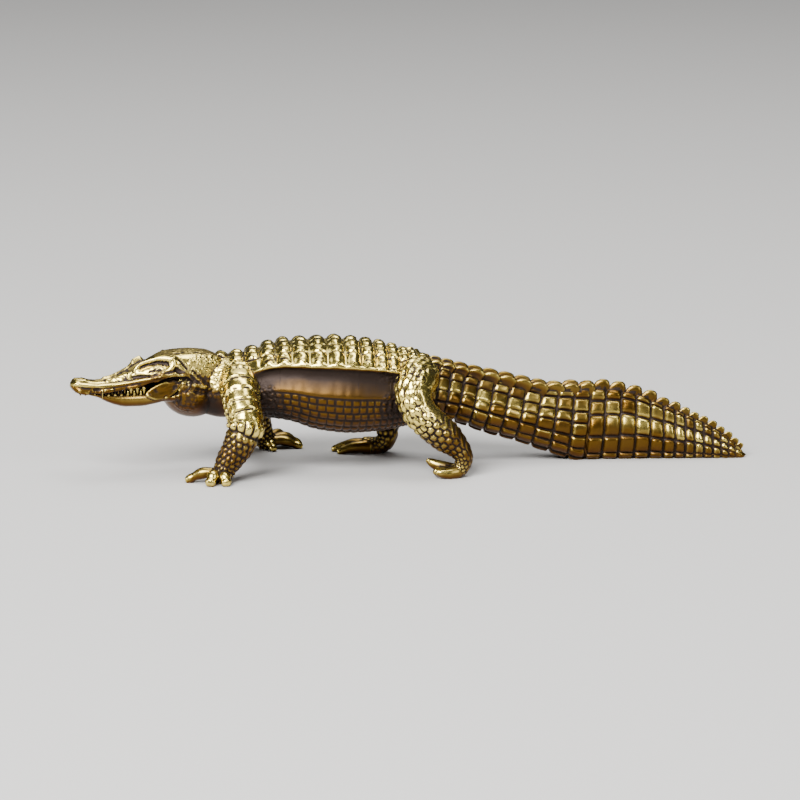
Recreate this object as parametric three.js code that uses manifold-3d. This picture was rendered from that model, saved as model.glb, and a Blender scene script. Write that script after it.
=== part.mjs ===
// A solid cast brass alligator in a walking pose, all sizes in millimetres.
// Head towards -X, tail towards +X, left side towards -Y, +Z up, standing on z = 0.
import * as THREE from 'three';
import { mergeVertices } from 'three/addons/utils/BufferGeometryUtils.js';
import Module from 'manifold-3d';

const wasm = await Module();
wasm.setup();

// Driving dimensions of the body, as [place along the body, size] pairs
const backHeights = [
  [-27, 12.9], [-24.5, 13.3], [-20, 13.6], [-14.4, 14.85], [-9, 15.1], [-5, 14.75], [-0.7, 13.6], [4, 12.1],
  [11.1, 9.75], [17.8, 7.75], [21.6, 7.35], [25.4, 7], [30.7, 5.4], [37, 2.9], [40.6, 0.75],
];
const bellyHeights = [
  [-27, 7.2], [-24.5, 6.65], [-22, 6.1], [-17.5, 6.15], [-14.4, 5.8], [-10.5, 4.6], [-6.8, 4.2], [-3, 4.4],
  [0.9, 5.1], [3.9, 5.5], [8.7, 3.9], [13.5, 2.2], [17.8, 0.65], [20.5, -0.28], [40.6, -0.28],
];
const bodyHalfWidths = [
  [-27, 3.2], [-24.5, 3.7], [-22, 4.3], [-17.5, 5.7], [-11, 6.8], [-7.5, 7], [-3, 6.4], [0.9, 5.3],
  [3.9, 4.55], [8.7, 3.9], [13.5, 3.35], [19.7, 2.65], [27.2, 2], [34.7, 1.35], [40.6, 0.45],
];
const bodyDrift = [
  [-27, -0.95], [-23.4, 0.1], [-15, -0.1], [-8, -0.2], [0, 0], [5, 0.5], [11, 1.4], [17, 2.1],
  [23, 2.3], [29, 2], [35, 1.5], [40.6, 1],
];
const bodyLean = [[-27, 0], [-2, 0.02], [2, 0.15], [6, 0.27], [14, 0.25], [20, 0.12], [28, 0.05], [40.6, 0]];
const bodyStart = { place: -27, height: 10 };
const bodyEnd = { place: 40.6, height: 0.35 };
const neckEndsFrom = -22.5;
const shouldersFrom = -16.5;
const hipsFrom = -1.5;
const tailFrom = 4.5;

// Half sections from the middle of the back to the middle of the belly,
// as shares of the half width and of the height
const neckSection = [
  [0, 1], [0.36, 0.97], [0.64, 0.88], [0.84, 0.75], [0.95, 0.62], [1, 0.49], [0.97, 0.34], [0.85, 0.2],
  [0.64, 0.08], [0.35, 0.02], [0, 0],
];
const trunkSection = [
  [0, 1], [0.37, 0.985], [0.7, 0.92], [0.94, 0.8], [0.93, 0.7], [0.99, 0.56], [1, 0.46], [0.93, 0.28],
  [0.7, 0.1], [0.37, 0.02], [0, 0],
];
const tailSection = [
  [0, 1], [0.34, 0.96], [0.48, 0.84], [0.66, 0.7], [0.92, 0.56], [1, 0.42], [0.97, 0.27], [0.83, 0.14],
  [0.62, 0.05], [0.32, 0], [0, 0],
];

// The skin in front of the first ring, then the rings of scales as [ring number, place]
const neckStations = [{ place: -25.8, groove: 0, crown: 0 }, { place: -24.4, groove: 0, crown: 0.4 }];
const ringPlaces = [
  [0, -23.1], [5, -13.8], [9, -5.8], [12, -1.2], [14, 0.8], [17, 4.53], [22, 13.45], [26, 21.55],
  [31, 30.6], [33, 33.2], [39, 39.3], [40, 39.95],
];
const firstTailRing = 16;
const lastRing = 40;
const firstShortRing = 31;
const grooveDepth = 0.26;
const backBump = 0.55;

// Lines of points down one side: where the rows of tail scales meet, and each scale's own edges
const tailRowEdges = [0, 0.23, 0.52, 0.73, 1];
const tailScaleEdges = [0, 0.2, 0.8];
const linesPerSide = 12;
const shieldLines = 6;
const trunkLines = [0, 0.06, 0.12, 0.18, 0.24, 0.3, 0.36, 0.46, 0.58, 0.68, 0.78, 0.9, 1];

// The crest along the top of the tail: low pairs of scutes that close up into one tall row
const crestHeights = [
  [2, 0.3], [8, 0.75], [13, 1], [17, 1.45], [20, 1.8], [23, 2.25], [28, 2.1], [33, 1.6], [38, 1], [40, 0.4],
];
const crestJoinsFrom = 14;
const crestJoinsBy = 22;
const crestNotch = 0.4;
const crestFront = 0.85;
const pairShoulder = 0.9;
const singleShoulder = 0.75;

// The head, drawn forward from the neck along its own axis
const neckJoint = new THREE.Vector3(-23.4, 0.1, 0);
const headYaw = THREE.MathUtils.degToRad(16);
const skullTops = [
  [-2, 12.6], [-0.9, 13.5], [0.2, 13.95], [2.2, 14.2], [4.2, 14.1], [5.3, 13.85], [6.4, 13.45], [7.6, 13.1],
  [8.8, 12.7], [9.8, 12.15], [11, 11.65], [12.4, 11.3], [13.7, 11.3], [15, 11.55], [15.9, 11.6],
  [16.55, 11.3],
];
const skullBottoms = [
  [-2, 8], [2.2, 9.2], [4.2, 10.4], [5.3, 11], [7.6, 11], [8.8, 10.6], [9.8, 10.35], [11, 10.2],
  [12.4, 10], [13.4, 9.85], [15, 10.15], [16.5, 10.6],
];
const skullHalfWidths = [
  [-2, 3], [0.2, 3.7], [2.2, 3.75], [4.2, 3.6], [6.4, 3.2], [7.6, 2.85], [8.8, 2.5], [9.8, 2.15],
  [11, 1.85], [12.4, 1.6], [13.7, 1.45], [15, 1.35], [15.9, 1.15], [16.5, 0.75],
];
const skullSection = [
  [0, 1], [0.45, 0.99], [0.68, 0.9], [0.84, 0.64], [0.97, 0.36], [1, 0.16], [0.9, 0.03], [0.5, 0], [0, 0],
];
const skullStations = [16.55, 15.9, 15, 13.7, 12.4, 11, 9.8, 8.8, 7.6, 6.4, 5.3, 4.2, 2.2, 0.2, -0.9];
const snoutTip = [16.9, 10.9];
const skullEnd = [-1.6, 11];

const jawTops = [[1, 10.8], [4.5, 10.4], [7.2, 9.9], [8.8, 9.75], [11.6, 9.6], [12.8, 9.7], [15, 10.05]];
const jawBottoms = [
  [1, 7.8], [4.5, 8.3], [6.1, 8.5], [7.2, 8.35], [8.8, 8.1], [10.5, 8.15], [11.6, 8.4], [12.8, 8.95],
  [15, 9.7],
];
const jawHalfWidths = [[1, 3.2], [4.5, 3.1], [7.2, 2.65], [8.8, 2.2], [10.5, 1.75], [12.8, 1.25], [15, 0.75]];
const jawSection = [[0, 1], [0.7, 0.98], [0.95, 0.8], [1, 0.5], [0.85, 0.18], [0.5, 0.02], [0, 0]];
const jawStations = [15, 14, 12.8, 11.6, 10.5, 8.8, 7.2, 5.5, 3];
const jawTip = [15.6, 9.95];
const jawEnd = [1, 9.5];

// Rounded masses of the head: [forward, sideways, height], half sizes, and [around, rows] of their faces
const jowls = { at: [2.1, 0, 9.4], half: [3.7, 3.95, 3.2], faces: [12, 8] };
const brow = { at: [7.1, 1.85, 12.85], half: [1.75, 0.85, 0.75], faces: [8, 4] };
const eyelid = { at: [6.9, 2.45, 12.45], half: [1.5, 0.5, 0.32], faces: [8, 4] };
const nostril = { at: [15.2, 0.5, 11.6], half: [0.6, 0.42, 0.3], faces: [6, 4] };
const mouthCorner = { at: [5.9, 3.3, 10.35], half: [3.1, 1, 1], faces: [10, 6], tilt: 0.3 };
const jawPlate = { at: [5.9, 2.6, 10.25], half: [2.5, 0.55, 0.72], faces: [8, 4], tilt: 0.3 };

// Teeth: forward places, sizes and heights of their lowest points
const teeth = { from: 8.9, to: 12.2, count: 7, radius: 0.17, length: 1.1, height: 9.3 };
const frontTeeth = { from: 14.7, to: 15.9, count: 3, radius: 0.15, length: 0.7, height: 9.95 };
const fang = { at: 12.95, radius: 0.24, length: 1.1, height: 9.35, outward: 0.85 };
const toothSides = 4;
const toothInset = 0.1;

// The legs, as [x, y, z, radius] along each one
const legs = {
  leftFore: {
    path: [[-19.8, -2.5, 11.2, 2.3], [-19.9, -5, 10.4, 2.35], [-19.7, -6.7, 8.7, 2.1],
      [-19.35, -7.8, 6.6, 2.05], [-20.2, -8.3, 4.3, 1.75], [-21.5, -8.6, 2.2, 1.4],
      [-22.3, -8.95, 0.5, 1.05]],
    across: new THREE.Vector3(1, 0, 0),
    banded: true,
    toes: [
      [[-22.4, -8.8, 1, 0.75], [-24, -8.6, 1.2, 0.65], [-25.3, -8.4, 0.75, 0.54], [-26.1, -8.3, 0.2, 0.44]],
      [[-22.5, -9, 1, 0.75], [-23.1, -9.8, 1.1, 0.7], [-23.4, -10.4, 0.65, 0.64], [-23.5, -10.75, 0.22, 0.5]],
      [[-22.1, -9.1, 1, 0.7], [-21.9, -9.9, 1, 0.62], [-21.75, -10.5, 0.6, 0.56], [-21.7, -10.8, 0.2, 0.45]],
      [[-22, -8.6, 0.9, 0.65], [-21.6, -7.6, 0.7, 0.55], [-21.5, -6.9, 0.28, 0.4]],
    ],
  },
  rightFore: {
    path: [[-19, 2.5, 11, 2.3], [-19, 5, 10, 2.3], [-18.8, 6.9, 8.2, 2.1], [-18.3, 8.2, 6, 1.95],
      [-17.6, 9, 3.7, 1.65], [-16.9, 9.5, 1.9, 1.3], [-16.3, 9.7, 0.5, 1.05]],
    across: new THREE.Vector3(1, 0, 0),
    banded: true,
    toes: [
      [[-16, 9.9, 1.1, 0.7], [-15.2, 10.8, 1.6, 0.6], [-14.4, 11.4, 1.2, 0.52], [-13.8, 11.7, 0.22, 0.42]],
      [[-15.9, 9.8, 1, 0.75], [-14.4, 10.4, 1.3, 0.62], [-13.2, 10.7, 0.85, 0.52], [-12.4, 10.9, 0.22, 0.42]],
      [[-15.9, 9.6, 0.9, 0.7], [-14.5, 9.6, 1, 0.62], [-13.2, 9.6, 0.6, 0.52], [-12.3, 9.5, 0.2, 0.42]],
      [[-16.2, 9.4, 0.8, 0.65], [-15.9, 8.5, 0.7, 0.55], [-15.6, 7.8, 0.28, 0.4]],
    ],
  },
  leftHind: {
    path: [[1.2, -2.5, 11.2, 2.5], [0.7, -4.9, 10.8, 2.4], [0.3, -6.5, 9.6, 2.15], [0.9, -7.2, 7.8, 1.95],
      [2.3, -7.3, 6.3, 1.95], [3.9, -7.3, 4.9, 1.9], [5.3, -7.35, 3.6, 1.4], [6.05, -7.4, 2.4, 1.1],
      [5.75, -7.45, 1.15, 0.95], [4.9, -7.55, 0.6, 0.9]],
    across: new THREE.Vector3(0, 1, 0),
    banded: false,
    toes: [
      [[5.2, -7.8, 0.6, 0.85], [4.2, -8.3, 0.58, 0.7], [3.4, -8.5, 0.7, 0.56], [2.9, -8.6, 0.85, 0.36]],
      [[5, -7, 0.7, 0.8], [3.6, -6.7, 1.05, 0.72], [2.6, -6.4, 1.4, 0.6], [1.95, -6.2, 1.75, 0.3]],
      [[5.1, -7.4, 0.6, 0.85], [4, -7.5, 0.6, 0.7], [3.1, -7.6, 0.66, 0.6], [2.7, -7.7, 0.76, 0.4]],
    ],
  },
  rightHind: {
    path: [[0.5, 2.5, 11, 2.5], [-0.4, 5, 10.4, 2.4], [-1.6, 6.6, 8.9, 2.15], [-2.3, 7.2, 7, 1.95],
      [-2.2, 7, 5, 1.75], [-2, 6.5, 3.2, 1.4], [-2.1, 6.3, 1.7, 1.15], [-3, 6.35, 0.95, 1.1],
      [-4.6, 6.7, 0.8, 1.1]],
    across: new THREE.Vector3(0, 1, 0),
    banded: false,
    toes: [
      [[-4, 7, 0.75, 0.9], [-5.6, 7.7, 0.85, 0.72], [-6.9, 8.3, 0.6, 0.56], [-7.9, 8.6, 0.22, 0.42]],
      [[-4, 6.6, 0.8, 0.95], [-5.8, 6.9, 0.95, 0.78], [-7.3, 7.3, 0.65, 0.56], [-8.4, 7.6, 0.22, 0.42]],
      [[-4, 6.2, 0.75, 0.9], [-5.5, 6, 0.85, 0.72], [-6.8, 6.1, 0.6, 0.56], [-7.8, 6.2, 0.22, 0.42]],
    ],
  },
};
const legSides = 10;
const legPlacesPerPoint = 1.4;
const toeSides = 5;
const toePlaces = [0.3, 0.55, 0.78, 0.97];
const tipReach = 0.6;

// The overlapping bands of an upper arm, by share along the leg
const upperArm = { from: 0.12, to: 0.52, bands: 5, step: 0.06, crestAt: 0.85 };

const floorBlockSize = 200;
const brassColour = 0xa07a2c;

// A smooth curve through a few [place, value] pairs that never overshoots them
function profile(pairs) {
  const steps = pairs.slice(1).map(([x, y], i) => (y - pairs[i][1]) / (x - pairs[i][0]));
  const slopes = pairs.map((_, i) => {
    const before = steps[Math.max(i - 1, 0)];
    const after = steps[Math.min(i, steps.length - 1)];
    return before * after > 0 ? 2 * before * after / (before + after) : 0;
  });
  return (x) => {
    const held = THREE.MathUtils.clamp(x, pairs[0][0], pairs[pairs.length - 1][0]);
    let i = 0;
    while (i < steps.length - 1 && held > pairs[i + 1][0]) i += 1;
    const width = pairs[i + 1][0] - pairs[i][0];
    const t = (held - pairs[i][0]) / width;
    const near = (1 + 2 * t) * (1 - t) ** 2 * pairs[i][1] + t * (1 - t) ** 2 * width * slopes[i];
    const far = t * t * (3 - 2 * t) * pairs[i + 1][1] - t * t * (1 - t) * width * slopes[i + 1];
    return near + far;
  };
}

// A point on a half section, from 0 at its top to 1 at its bottom
function onSection(section, share) {
  const curve = new THREE.SplineCurve(section.map(([side, height]) => new THREE.Vector2(side, height)));
  return curve.getPoint(share);
}

// A closed skin: where(row, turn) gives each point, row 0 and the last row are its two end points
function skin(rows, around, where) {
  const geometry = new THREE.SphereGeometry(1, around, rows);
  const position = geometry.attributes.position;
  for (let i = 0; i < position.count; i += 1) {
    const point = where(Math.floor(i / (around + 1)), i % (around + 1) % around);
    position.setXYZ(i, point.x, point.y, point.z);
  }
  return geometry;
}

function solidOf(geometry) {
  geometry.deleteAttribute('normal');
  geometry.deleteAttribute('uv');
  const merged = mergeVertices(geometry);
  const vertProperties = new Float32Array(merged.attributes.position.array);
  const triVerts = new Uint32Array(merged.index.array);
  return new wasm.Manifold(new wasm.Mesh({ numProp: 3, vertProperties, triVerts }));
}

const backHeight = profile(backHeights);
const bellyHeight = profile(bellyHeights);
const bodyHalfWidth = profile(bodyHalfWidths);
const drift = profile(bodyDrift);
const leanAt = profile(bodyLean);
const ringPlace = profile(ringPlaces);
const crestHeight = profile(crestHeights);

// The outer point of the body at a station, a share down one side (-1 left, 1 right), raised by lift
function bodyPoint(station, share, side, lift) {
  const lean = leanAt(station);
  const half = (backHeight(station) - bellyHeight(station)) / 2;
  const top = backHeight(station + half * lean);
  const bottom = bellyHeight(station - half * lean);
  const middle = (top + bottom) / 2;
  const trunkness = THREE.MathUtils.smoothstep(station, neckEndsFrom, shouldersFrom);
  const tailness = THREE.MathUtils.smoothstep(station, hipsFrom, tailFrom);
  const outline = onSection(neckSection, share)
    .lerp(onSection(trunkSection, share), trunkness)
    .lerp(onSection(tailSection, share), tailness);
  const across = outline.x * bodyHalfWidth(station);
  const up = bottom + outline.y * (top - bottom);
  const spread = Math.hypot(across, up - middle) || 1;
  const z = up + lift * (up - middle) / spread;
  const y = drift(station) + side * (across + lift * across / spread);
  return new THREE.Vector3(station + (z - middle) * lean, y, z);
}

// The stations along the body: scale rings split at their grooves, with crowns or flat tops between
function bodyStations() {
  const stations = [...neckStations];
  for (let ring = 0; ring < lastRing; ring += 1) {
    const start = ringPlace(ring);
    const width = ringPlace(ring + 1) - start;
    stations.push({ place: start, groove: 1, crown: crestNotch });
    if (ring < firstTailRing || ring >= firstShortRing) {
      stations.push({ place: start + width / 2, groove: 0, crown: 1 });
    } else {
      stations.push({ place: start + width * tailScaleEdges[1], groove: 0, crown: crestFront });
      stations.push({ place: start + width * tailScaleEdges[2], groove: 0, crown: 1 });
    }
  }
  stations.push({ place: ringPlace(lastRing), groove: 0.5, crown: crestNotch });
  return stations;
}

// 0 where the crest is a pair of rows, 1 where it is a single row
function crestJoined(place) {
  return THREE.MathUtils.smoothstep(place, crestJoinsFrom, crestJoinsBy);
}

// How far the three lines nearest the middle of the back stand up as the crest
function crestLift(place, line, crown) {
  const single = crestJoined(place);
  const shares = [single, THREE.MathUtils.lerp(pairShoulder, singleShoulder, single), 1 - single];
  return (shares[line] ?? 0) * crown * crestHeight(place);
}

function body() {
  const stations = bodyStations();
  const first = new THREE.Vector3(bodyStart.place, drift(bodyStart.place), bodyStart.height);
  const last = new THREE.Vector3(bodyEnd.place, drift(bodyEnd.place), bodyEnd.height);
  return skin(stations.length + 1, 2 * linesPerSide, (row, turn) => {
    if (row === 0) return first;
    if (row > stations.length) return last;
    const { place, groove, crown } = stations[row - 1];
    const line = turn <= linesPerSide ? turn : 2 * linesPerSide - turn;
    const side = turn <= linesPerSide ? 1 : -1;
    const tailness = THREE.MathUtils.smoothstep(place, hipsFrom, tailFrom);
    const cell = Math.floor(line / tailScaleEdges.length);
    const edge = tailScaleEdges[line % tailScaleEdges.length];
    const tailShare = THREE.MathUtils.lerp(tailRowEdges[cell], tailRowEdges[cell + 1] ?? 1, edge);
    const share = THREE.MathUtils.lerp(trunkLines[line], tailShare, tailness);
    const onCrown = line < shieldLines && line % 2 === 1 && groove === 0;
    const trunkLift = onCrown ? backBump * crown : 0;
    const between = line === 0 ? 1 - crestJoined(place) : 1;
    const cut = groove > 0 ? 1 : (edge === 0 ? between : 0);
    const tailLift = crestLift(place, line, crown) - grooveDepth * cut;
    return bodyPoint(place, share, side, THREE.MathUtils.lerp(trunkLift, tailLift, tailness));
  });
}

// A point of the head from its forward, sideways (left is positive) and height sizes
function headPoint(forward, left, height) {
  const cos = Math.cos(headYaw);
  const sin = Math.sin(headYaw);
  const x = neckJoint.x - forward * cos + left * sin;
  const y = neckJoint.y - forward * sin - left * cos;
  return new THREE.Vector3(x, y, height);
}

// A lofted part of the head, from its tip back to its end inside the neck
function headLoft({ stations, section, tops, bottoms, widths, tip, end }) {
  const top = profile(tops);
  const bottom = profile(bottoms);
  const width = profile(widths);
  const perSide = section.length - 1;
  return skin(stations.length + 1, 2 * perSide, (row, turn) => {
    if (row === 0) return headPoint(tip[0], 0, tip[1]);
    if (row > stations.length) return headPoint(end[0], 0, end[1]);
    const station = stations[row - 1];
    const line = turn <= perSide ? turn : 2 * perSide - turn;
    const side = turn <= perSide ? -1 : 1;
    const [across, up] = section[line];
    const low = bottom(station);
    return headPoint(station, side * across * width(station), low + up * (top(station) - low));
  });
}

// A rounded mass set on the head at its place, with its half sizes, tilted up to the rear
function headMass({ at, half, faces, tilt = 0 }, side) {
  const geometry = new THREE.SphereGeometry(1, ...faces);
  geometry.scale(half[0], half[1], half[2]);
  geometry.rotateY(-tilt);
  geometry.rotateZ(headYaw);
  const centre = headPoint(at[0], side * at[1], at[2]);
  geometry.translate(centre.x, centre.y, centre.z);
  return geometry;
}

// A cone on the head, its point up or down, its lowest end at the given height
function tooth(forward, left, { radius, length, height }, pointsUp) {
  const geometry = new THREE.ConeGeometry(radius, length, toothSides);
  geometry.rotateX(pointsUp ? Math.PI / 2 : -Math.PI / 2);
  const centre = headPoint(forward, left, height + length / 2);
  return geometry.translate(centre.x, centre.y, centre.z);
}

function toothRow(row, side) {
  const width = profile(jawHalfWidths);
  return Array.from({ length: row.count }, (_, i) => {
    const forward = THREE.MathUtils.lerp(row.from, row.to, i / (row.count - 1));
    return tooth(forward, side * (width(forward) - toothInset), row, true);
  });
}

function fangOf(side) {
  return tooth(fang.at, side * profile(skullHalfWidths)(fang.at) * fang.outward, fang, false);
}

function head() {
  const skull = solidOf(headLoft({
    stations: skullStations, section: skullSection, tops: skullTops, bottoms: skullBottoms,
    widths: skullHalfWidths, tip: snoutTip, end: skullEnd,
  }));
  const jaw = solidOf(headLoft({
    stations: jawStations, section: jawSection, tops: jawTops, bottoms: jawBottoms,
    widths: jawHalfWidths, tip: jawTip, end: jawEnd,
  }));
  let whole = skull.add(jaw).add(solidOf(headMass(jowls, 0)));
  for (const side of [-1, 1]) {
    whole = whole.subtract(solidOf(headMass(mouthCorner, side)));
    const masses = [jawPlate, brow, eyelid, nostril].map((mass) => headMass(mass, side));
    const added = [...masses, fangOf(side), ...toothRow(teeth, side), ...toothRow(frontTeeth, side)];
    for (const piece of added) whole = whole.add(solidOf(piece));
  }
  return whole;
}

// A limb or digit: a round skin along a path of [x, y, z, radius] points
function limb(path, across, sides, places) {
  const points = path.map(([x, y, z]) => new THREE.Vector3(x, y, z));
  const curve = new THREE.CatmullRomCurve3(points);
  const radius = profile(path.map(([, , , r], i) => [i / (path.length - 1), r]));
  return skin(places.length + 1, sides, (row, turn) => {
    if (row === 0) return points[0];
    if (row > places.length) return endPoint(curve, radius(1));
    const { at, scale } = places[row - 1];
    const along = curve.getTangent(at);
    const out = across.clone().addScaledVector(along, -across.dot(along)).normalize();
    const over = new THREE.Vector3().crossVectors(out, along);
    const angle = (turn / sides) * 2 * Math.PI;
    return curve.getPoint(at)
      .addScaledVector(out, scale * radius(at) * Math.cos(angle))
      .addScaledVector(over, scale * radius(at) * Math.sin(angle));
  });
}

function endPoint(curve, radius) {
  return curve.getPoint(1).addScaledVector(curve.getTangent(1), tipReach * radius);
}

// Stations along a leg, with overlapping bands of scales on an upper arm
function legPlaces(path, banded) {
  const count = Math.round(legPlacesPerPoint * (path.length - 1));
  const { from, to, bands, step, crestAt } = upperArm;
  const places = [];
  for (let band = 0; banded && band < bands; band += 1) {
    places.push({ at: THREE.MathUtils.lerp(from, to, band / bands), scale: 1 - step });
    places.push({ at: THREE.MathUtils.lerp(from, to, (band + crestAt) / bands), scale: 1 + step });
  }
  for (let i = 1; i <= count; i += 1) {
    if (!banded || i / count > to) places.push({ at: i / count, scale: 1 });
  }
  return places;
}

function leg({ path, across, banded, toes }) {
  const places = toePlaces.map((at) => ({ at, scale: 1 }));
  const up = new THREE.Vector3(0, 0, 1);
  const pieces = [limb(path, across, legSides, legPlaces(path, banded))];
  for (const toe of toes) pieces.push(limb(toe, up, toeSides, places));
  return pieces;
}

function floorBlock() {
  const size = floorBlockSize;
  return new THREE.BoxGeometry(size, size, size).translate(0, 0, -size / 2);
}

function alligator() {
  let whole = solidOf(body());
  whole = whole.add(head());
  for (const limbSizes of Object.values(legs)) {
    for (const piece of leg(limbSizes)) whole = whole.add(solidOf(piece));
  }
  whole = whole.subtract(solidOf(floorBlock()));
  const { vertProperties, triVerts } = whole.getMesh();
  const geometry = new THREE.BufferGeometry();
  geometry.setAttribute('position', new THREE.BufferAttribute(vertProperties, 3));
  geometry.setIndex(new THREE.BufferAttribute(triVerts, 1));
  geometry.computeBoundingBox();
  const { min, max } = geometry.boundingBox;
  geometry.translate(-(min.x + max.x) / 2, -(min.y + max.y) / 2, -min.z);
  geometry.computeVertexNormals();
  return geometry;
}

const brass = new THREE.MeshStandardMaterial({
  color: brassColour, roughness: 0.35, metalness: 1, flatShading: true,
});

const group = new THREE.Group();
const statue = new THREE.Mesh(alligator(), brass);
statue.name = 'alligator';
group.add(statue);

export default group;
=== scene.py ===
# A solid cast brass alligator in a walking pose, on a plain pale floor in soft studio light.
# The figure is drawn in millimetres, head to -x and left side to -y, and set into the frame at the end.
import math
import bmesh
import bpy
import numpy as np
from mathutils import Matrix, Vector
from mathutils.bvhtree import BVHTree


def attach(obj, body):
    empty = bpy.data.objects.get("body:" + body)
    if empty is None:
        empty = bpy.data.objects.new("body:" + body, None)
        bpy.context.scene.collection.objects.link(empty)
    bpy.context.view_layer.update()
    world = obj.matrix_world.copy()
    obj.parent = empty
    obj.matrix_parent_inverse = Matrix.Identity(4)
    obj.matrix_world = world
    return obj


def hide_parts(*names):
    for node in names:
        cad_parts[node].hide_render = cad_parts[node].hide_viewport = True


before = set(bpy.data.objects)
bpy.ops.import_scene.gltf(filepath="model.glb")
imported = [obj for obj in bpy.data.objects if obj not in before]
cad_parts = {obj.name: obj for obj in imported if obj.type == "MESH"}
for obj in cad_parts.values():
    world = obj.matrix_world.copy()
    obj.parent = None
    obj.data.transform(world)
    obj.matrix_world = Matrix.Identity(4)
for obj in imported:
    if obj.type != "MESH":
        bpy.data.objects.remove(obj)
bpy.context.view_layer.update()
print("frame loaded")


# Curves and small measures

def smooth(value, start=0.0, end=1.0):
    t = np.clip((value - start) / (end - start), 0, 1)
    return t * t * (3 - 2 * t)


def mix(a, b, share):
    return a + (b - a) * share


def span(value, rise, fall):
    # 1 from the end of the rise to the start of the fall, and 0 outside them
    return smooth(value, *rise) * (1 - smooth(value, *fall))


def ridge(value, centre, width, tall=1):
    # highest on a line, fading evenly on both sides of it
    return tall * np.exp(-((value - centre) / width) ** 2)


def wave(place, size, pace, shape=np.sin):
    return size * shape(place * pace)


def profile(pairs):
    # a smooth curve through a few (place, value) pairs that never overshoots them
    x, y = np.array(pairs, float).T
    step = np.diff(y) / np.diff(x)
    before = np.r_[step[0], step]
    after = np.r_[step, step[-1]]
    turning = before * after <= 0
    slope = np.where(turning, 0, 2 * before * after / np.where(turning, 1, before + after))

    def at(place):
        held = np.clip(place, x[0], x[-1])
        i = np.clip(np.searchsorted(x, held, side="right") - 1, 0, len(step) - 1)
        width = x[i + 1] - x[i]
        t = (held - x[i]) / width
        near = (1 + 2 * t) * (1 - t) ** 2 * y[i] + t * (1 - t) ** 2 * width * slope[i]
        far = t * t * (3 - 2 * t) * y[i + 1] - t * t * (1 - t) * width * slope[i + 1]
        return near + far
    return at


def onSection(section, share):
    # a point of a half section, from 0 at its top to 1 at its bottom, on one smooth line
    points = np.array(section, float)
    place = np.clip(share, 0, 1) * (len(points) - 1)
    i = np.clip(place.astype(int), 0, len(points) - 2)
    t = (place - i)[..., None]
    p0, p1, p2, p3 = (points[np.clip(i + k, 0, len(points) - 1)] for k in (-1, 0, 1, 2))
    v0, v1 = (p2 - p0) / 2, (p3 - p1) / 2
    return (2 * p1 - 2 * p2 + v0 + v1) * t ** 3 + (3 * p2 - 3 * p1 - 2 * v0 - v1) * t ** 2 + v0 * t + p1


def crowded(count, pull):
    # places from 0 up to 1 that crowd towards both ends
    t = np.arange(count) / count
    return t - pull * np.sin(math.tau * t) / math.tau


def padOn(dx, dy, width, high, gap, corner, slope):
    # 1 on a pad with rounded corners and 0 in the gap round it
    halfX, halfY = width / 2 - gap[0], high / 2 - gap[1]
    corner = np.minimum(corner, np.minimum(halfX, halfY))
    qx, qy = np.abs(dx) - halfX + corner, np.abs(dy) - halfY + corner
    outside = np.hypot(np.maximum(qx, 0), np.maximum(qy, 0))
    return smooth(corner - outside - np.minimum(np.maximum(qx, qy), 0), *slope)


def dome(dx, dy, halfX, halfY, power):
    return np.maximum(0, 1 - (dx / halfX) ** 2 - (dy / halfY) ** 2) ** power


def pebbleField(a, b, around, rng, jitter, stagger):
    # round cells on a sheet that closes after so many cells around: the nearest and second distance
    rows = int(np.ceil(b.max())) + 3
    shift = (rng.random((rows, around, 2)) - 0.5) * 2 * jitter
    i, j = np.floor(a).astype(int), np.floor(b).astype(int)
    nearest = np.full(a.shape, 9.0)
    second = np.full(a.shape, 9.0)
    for dj in (-1, 0, 1):
        for di in (-2, -1, 0, 1, 2):
            row, column = np.clip(j + dj + 1, 0, rows - 1), (i + di) % around
            lean = stagger * ((j + dj) % 2)
            ca = i + di + 0.5 + lean + shift[row, column, 0]
            cb = j + dj + 0.5 + shift[row, column, 1]
            far = np.hypot(a - ca, b - cb)
            second = np.minimum(second, np.maximum(nearest, far))
            nearest = np.minimum(nearest, far)
    return nearest, second


# Skins, all wrapped from one sphere

def raised(points, lift):
    # pushes a grid of skin points out along its own normals
    along = np.gradient(points, axis=0)
    around = np.roll(points, -1, axis=1) - np.roll(points, 1, axis=1)
    normal = np.cross(along, around)
    normal /= np.linalg.norm(normal, axis=-1, keepdims=True) + 1e-9
    outward = points - points.mean(axis=1, keepdims=True)
    normal *= np.sign((normal * outward).sum())
    return points + normal * lift[..., None]


def wrapped(points, first, last, rubbedAndLit):
    # a sphere wrapped onto a grid of points, with how bright each of them is painted, 0 to 1: partly rubbed
    # bright by handling, partly painted light, lighter on top and darker in painted shade on the sides and
    # below
    rows, around = points.shape[:2]
    rubbedAndLit = np.broadcast_to(rubbedAndLit, (rows, around))
    bm = bmesh.new()
    bmesh.ops.create_uvsphere(bm, u_segments=around, v_segments=rows + 1, radius=1)
    layer = bm.verts.layers.float.new("rubbedAndLit")
    for vert in bm.verts:
        row = round(math.acos(max(-1.0, min(1.0, vert.co.z))) * (rows + 1) / math.pi)
        turn = round(math.atan2(vert.co.y, vert.co.x) * around / math.tau) % around
        vert.co = first if row == 0 else last if row > rows else points[row - 1, turn]
        vert[layer] = rubbedAndLit[min(max(row - 1, 0), rows - 1), turn]
    return bm


def asObject(bm, name, rubbedAndLit=0.5):
    if not bm.verts.layers.float.get("rubbedAndLit"):
        layer = bm.verts.layers.float.new("rubbedAndLit")
        for vert in bm.verts:
            vert[layer] = rubbedAndLit
    bmesh.ops.recalc_face_normals(bm, faces=bm.faces)
    if bm.calc_volume(signed=True) < 0:
        bmesh.ops.reverse_faces(bm, faces=bm.faces)
    mesh = bpy.data.meshes.new(name)
    bm.to_mesh(mesh)
    bm.free()
    made = bpy.data.objects.new(name, mesh)
    bpy.context.scene.collection.objects.link(made)
    return made


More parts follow.
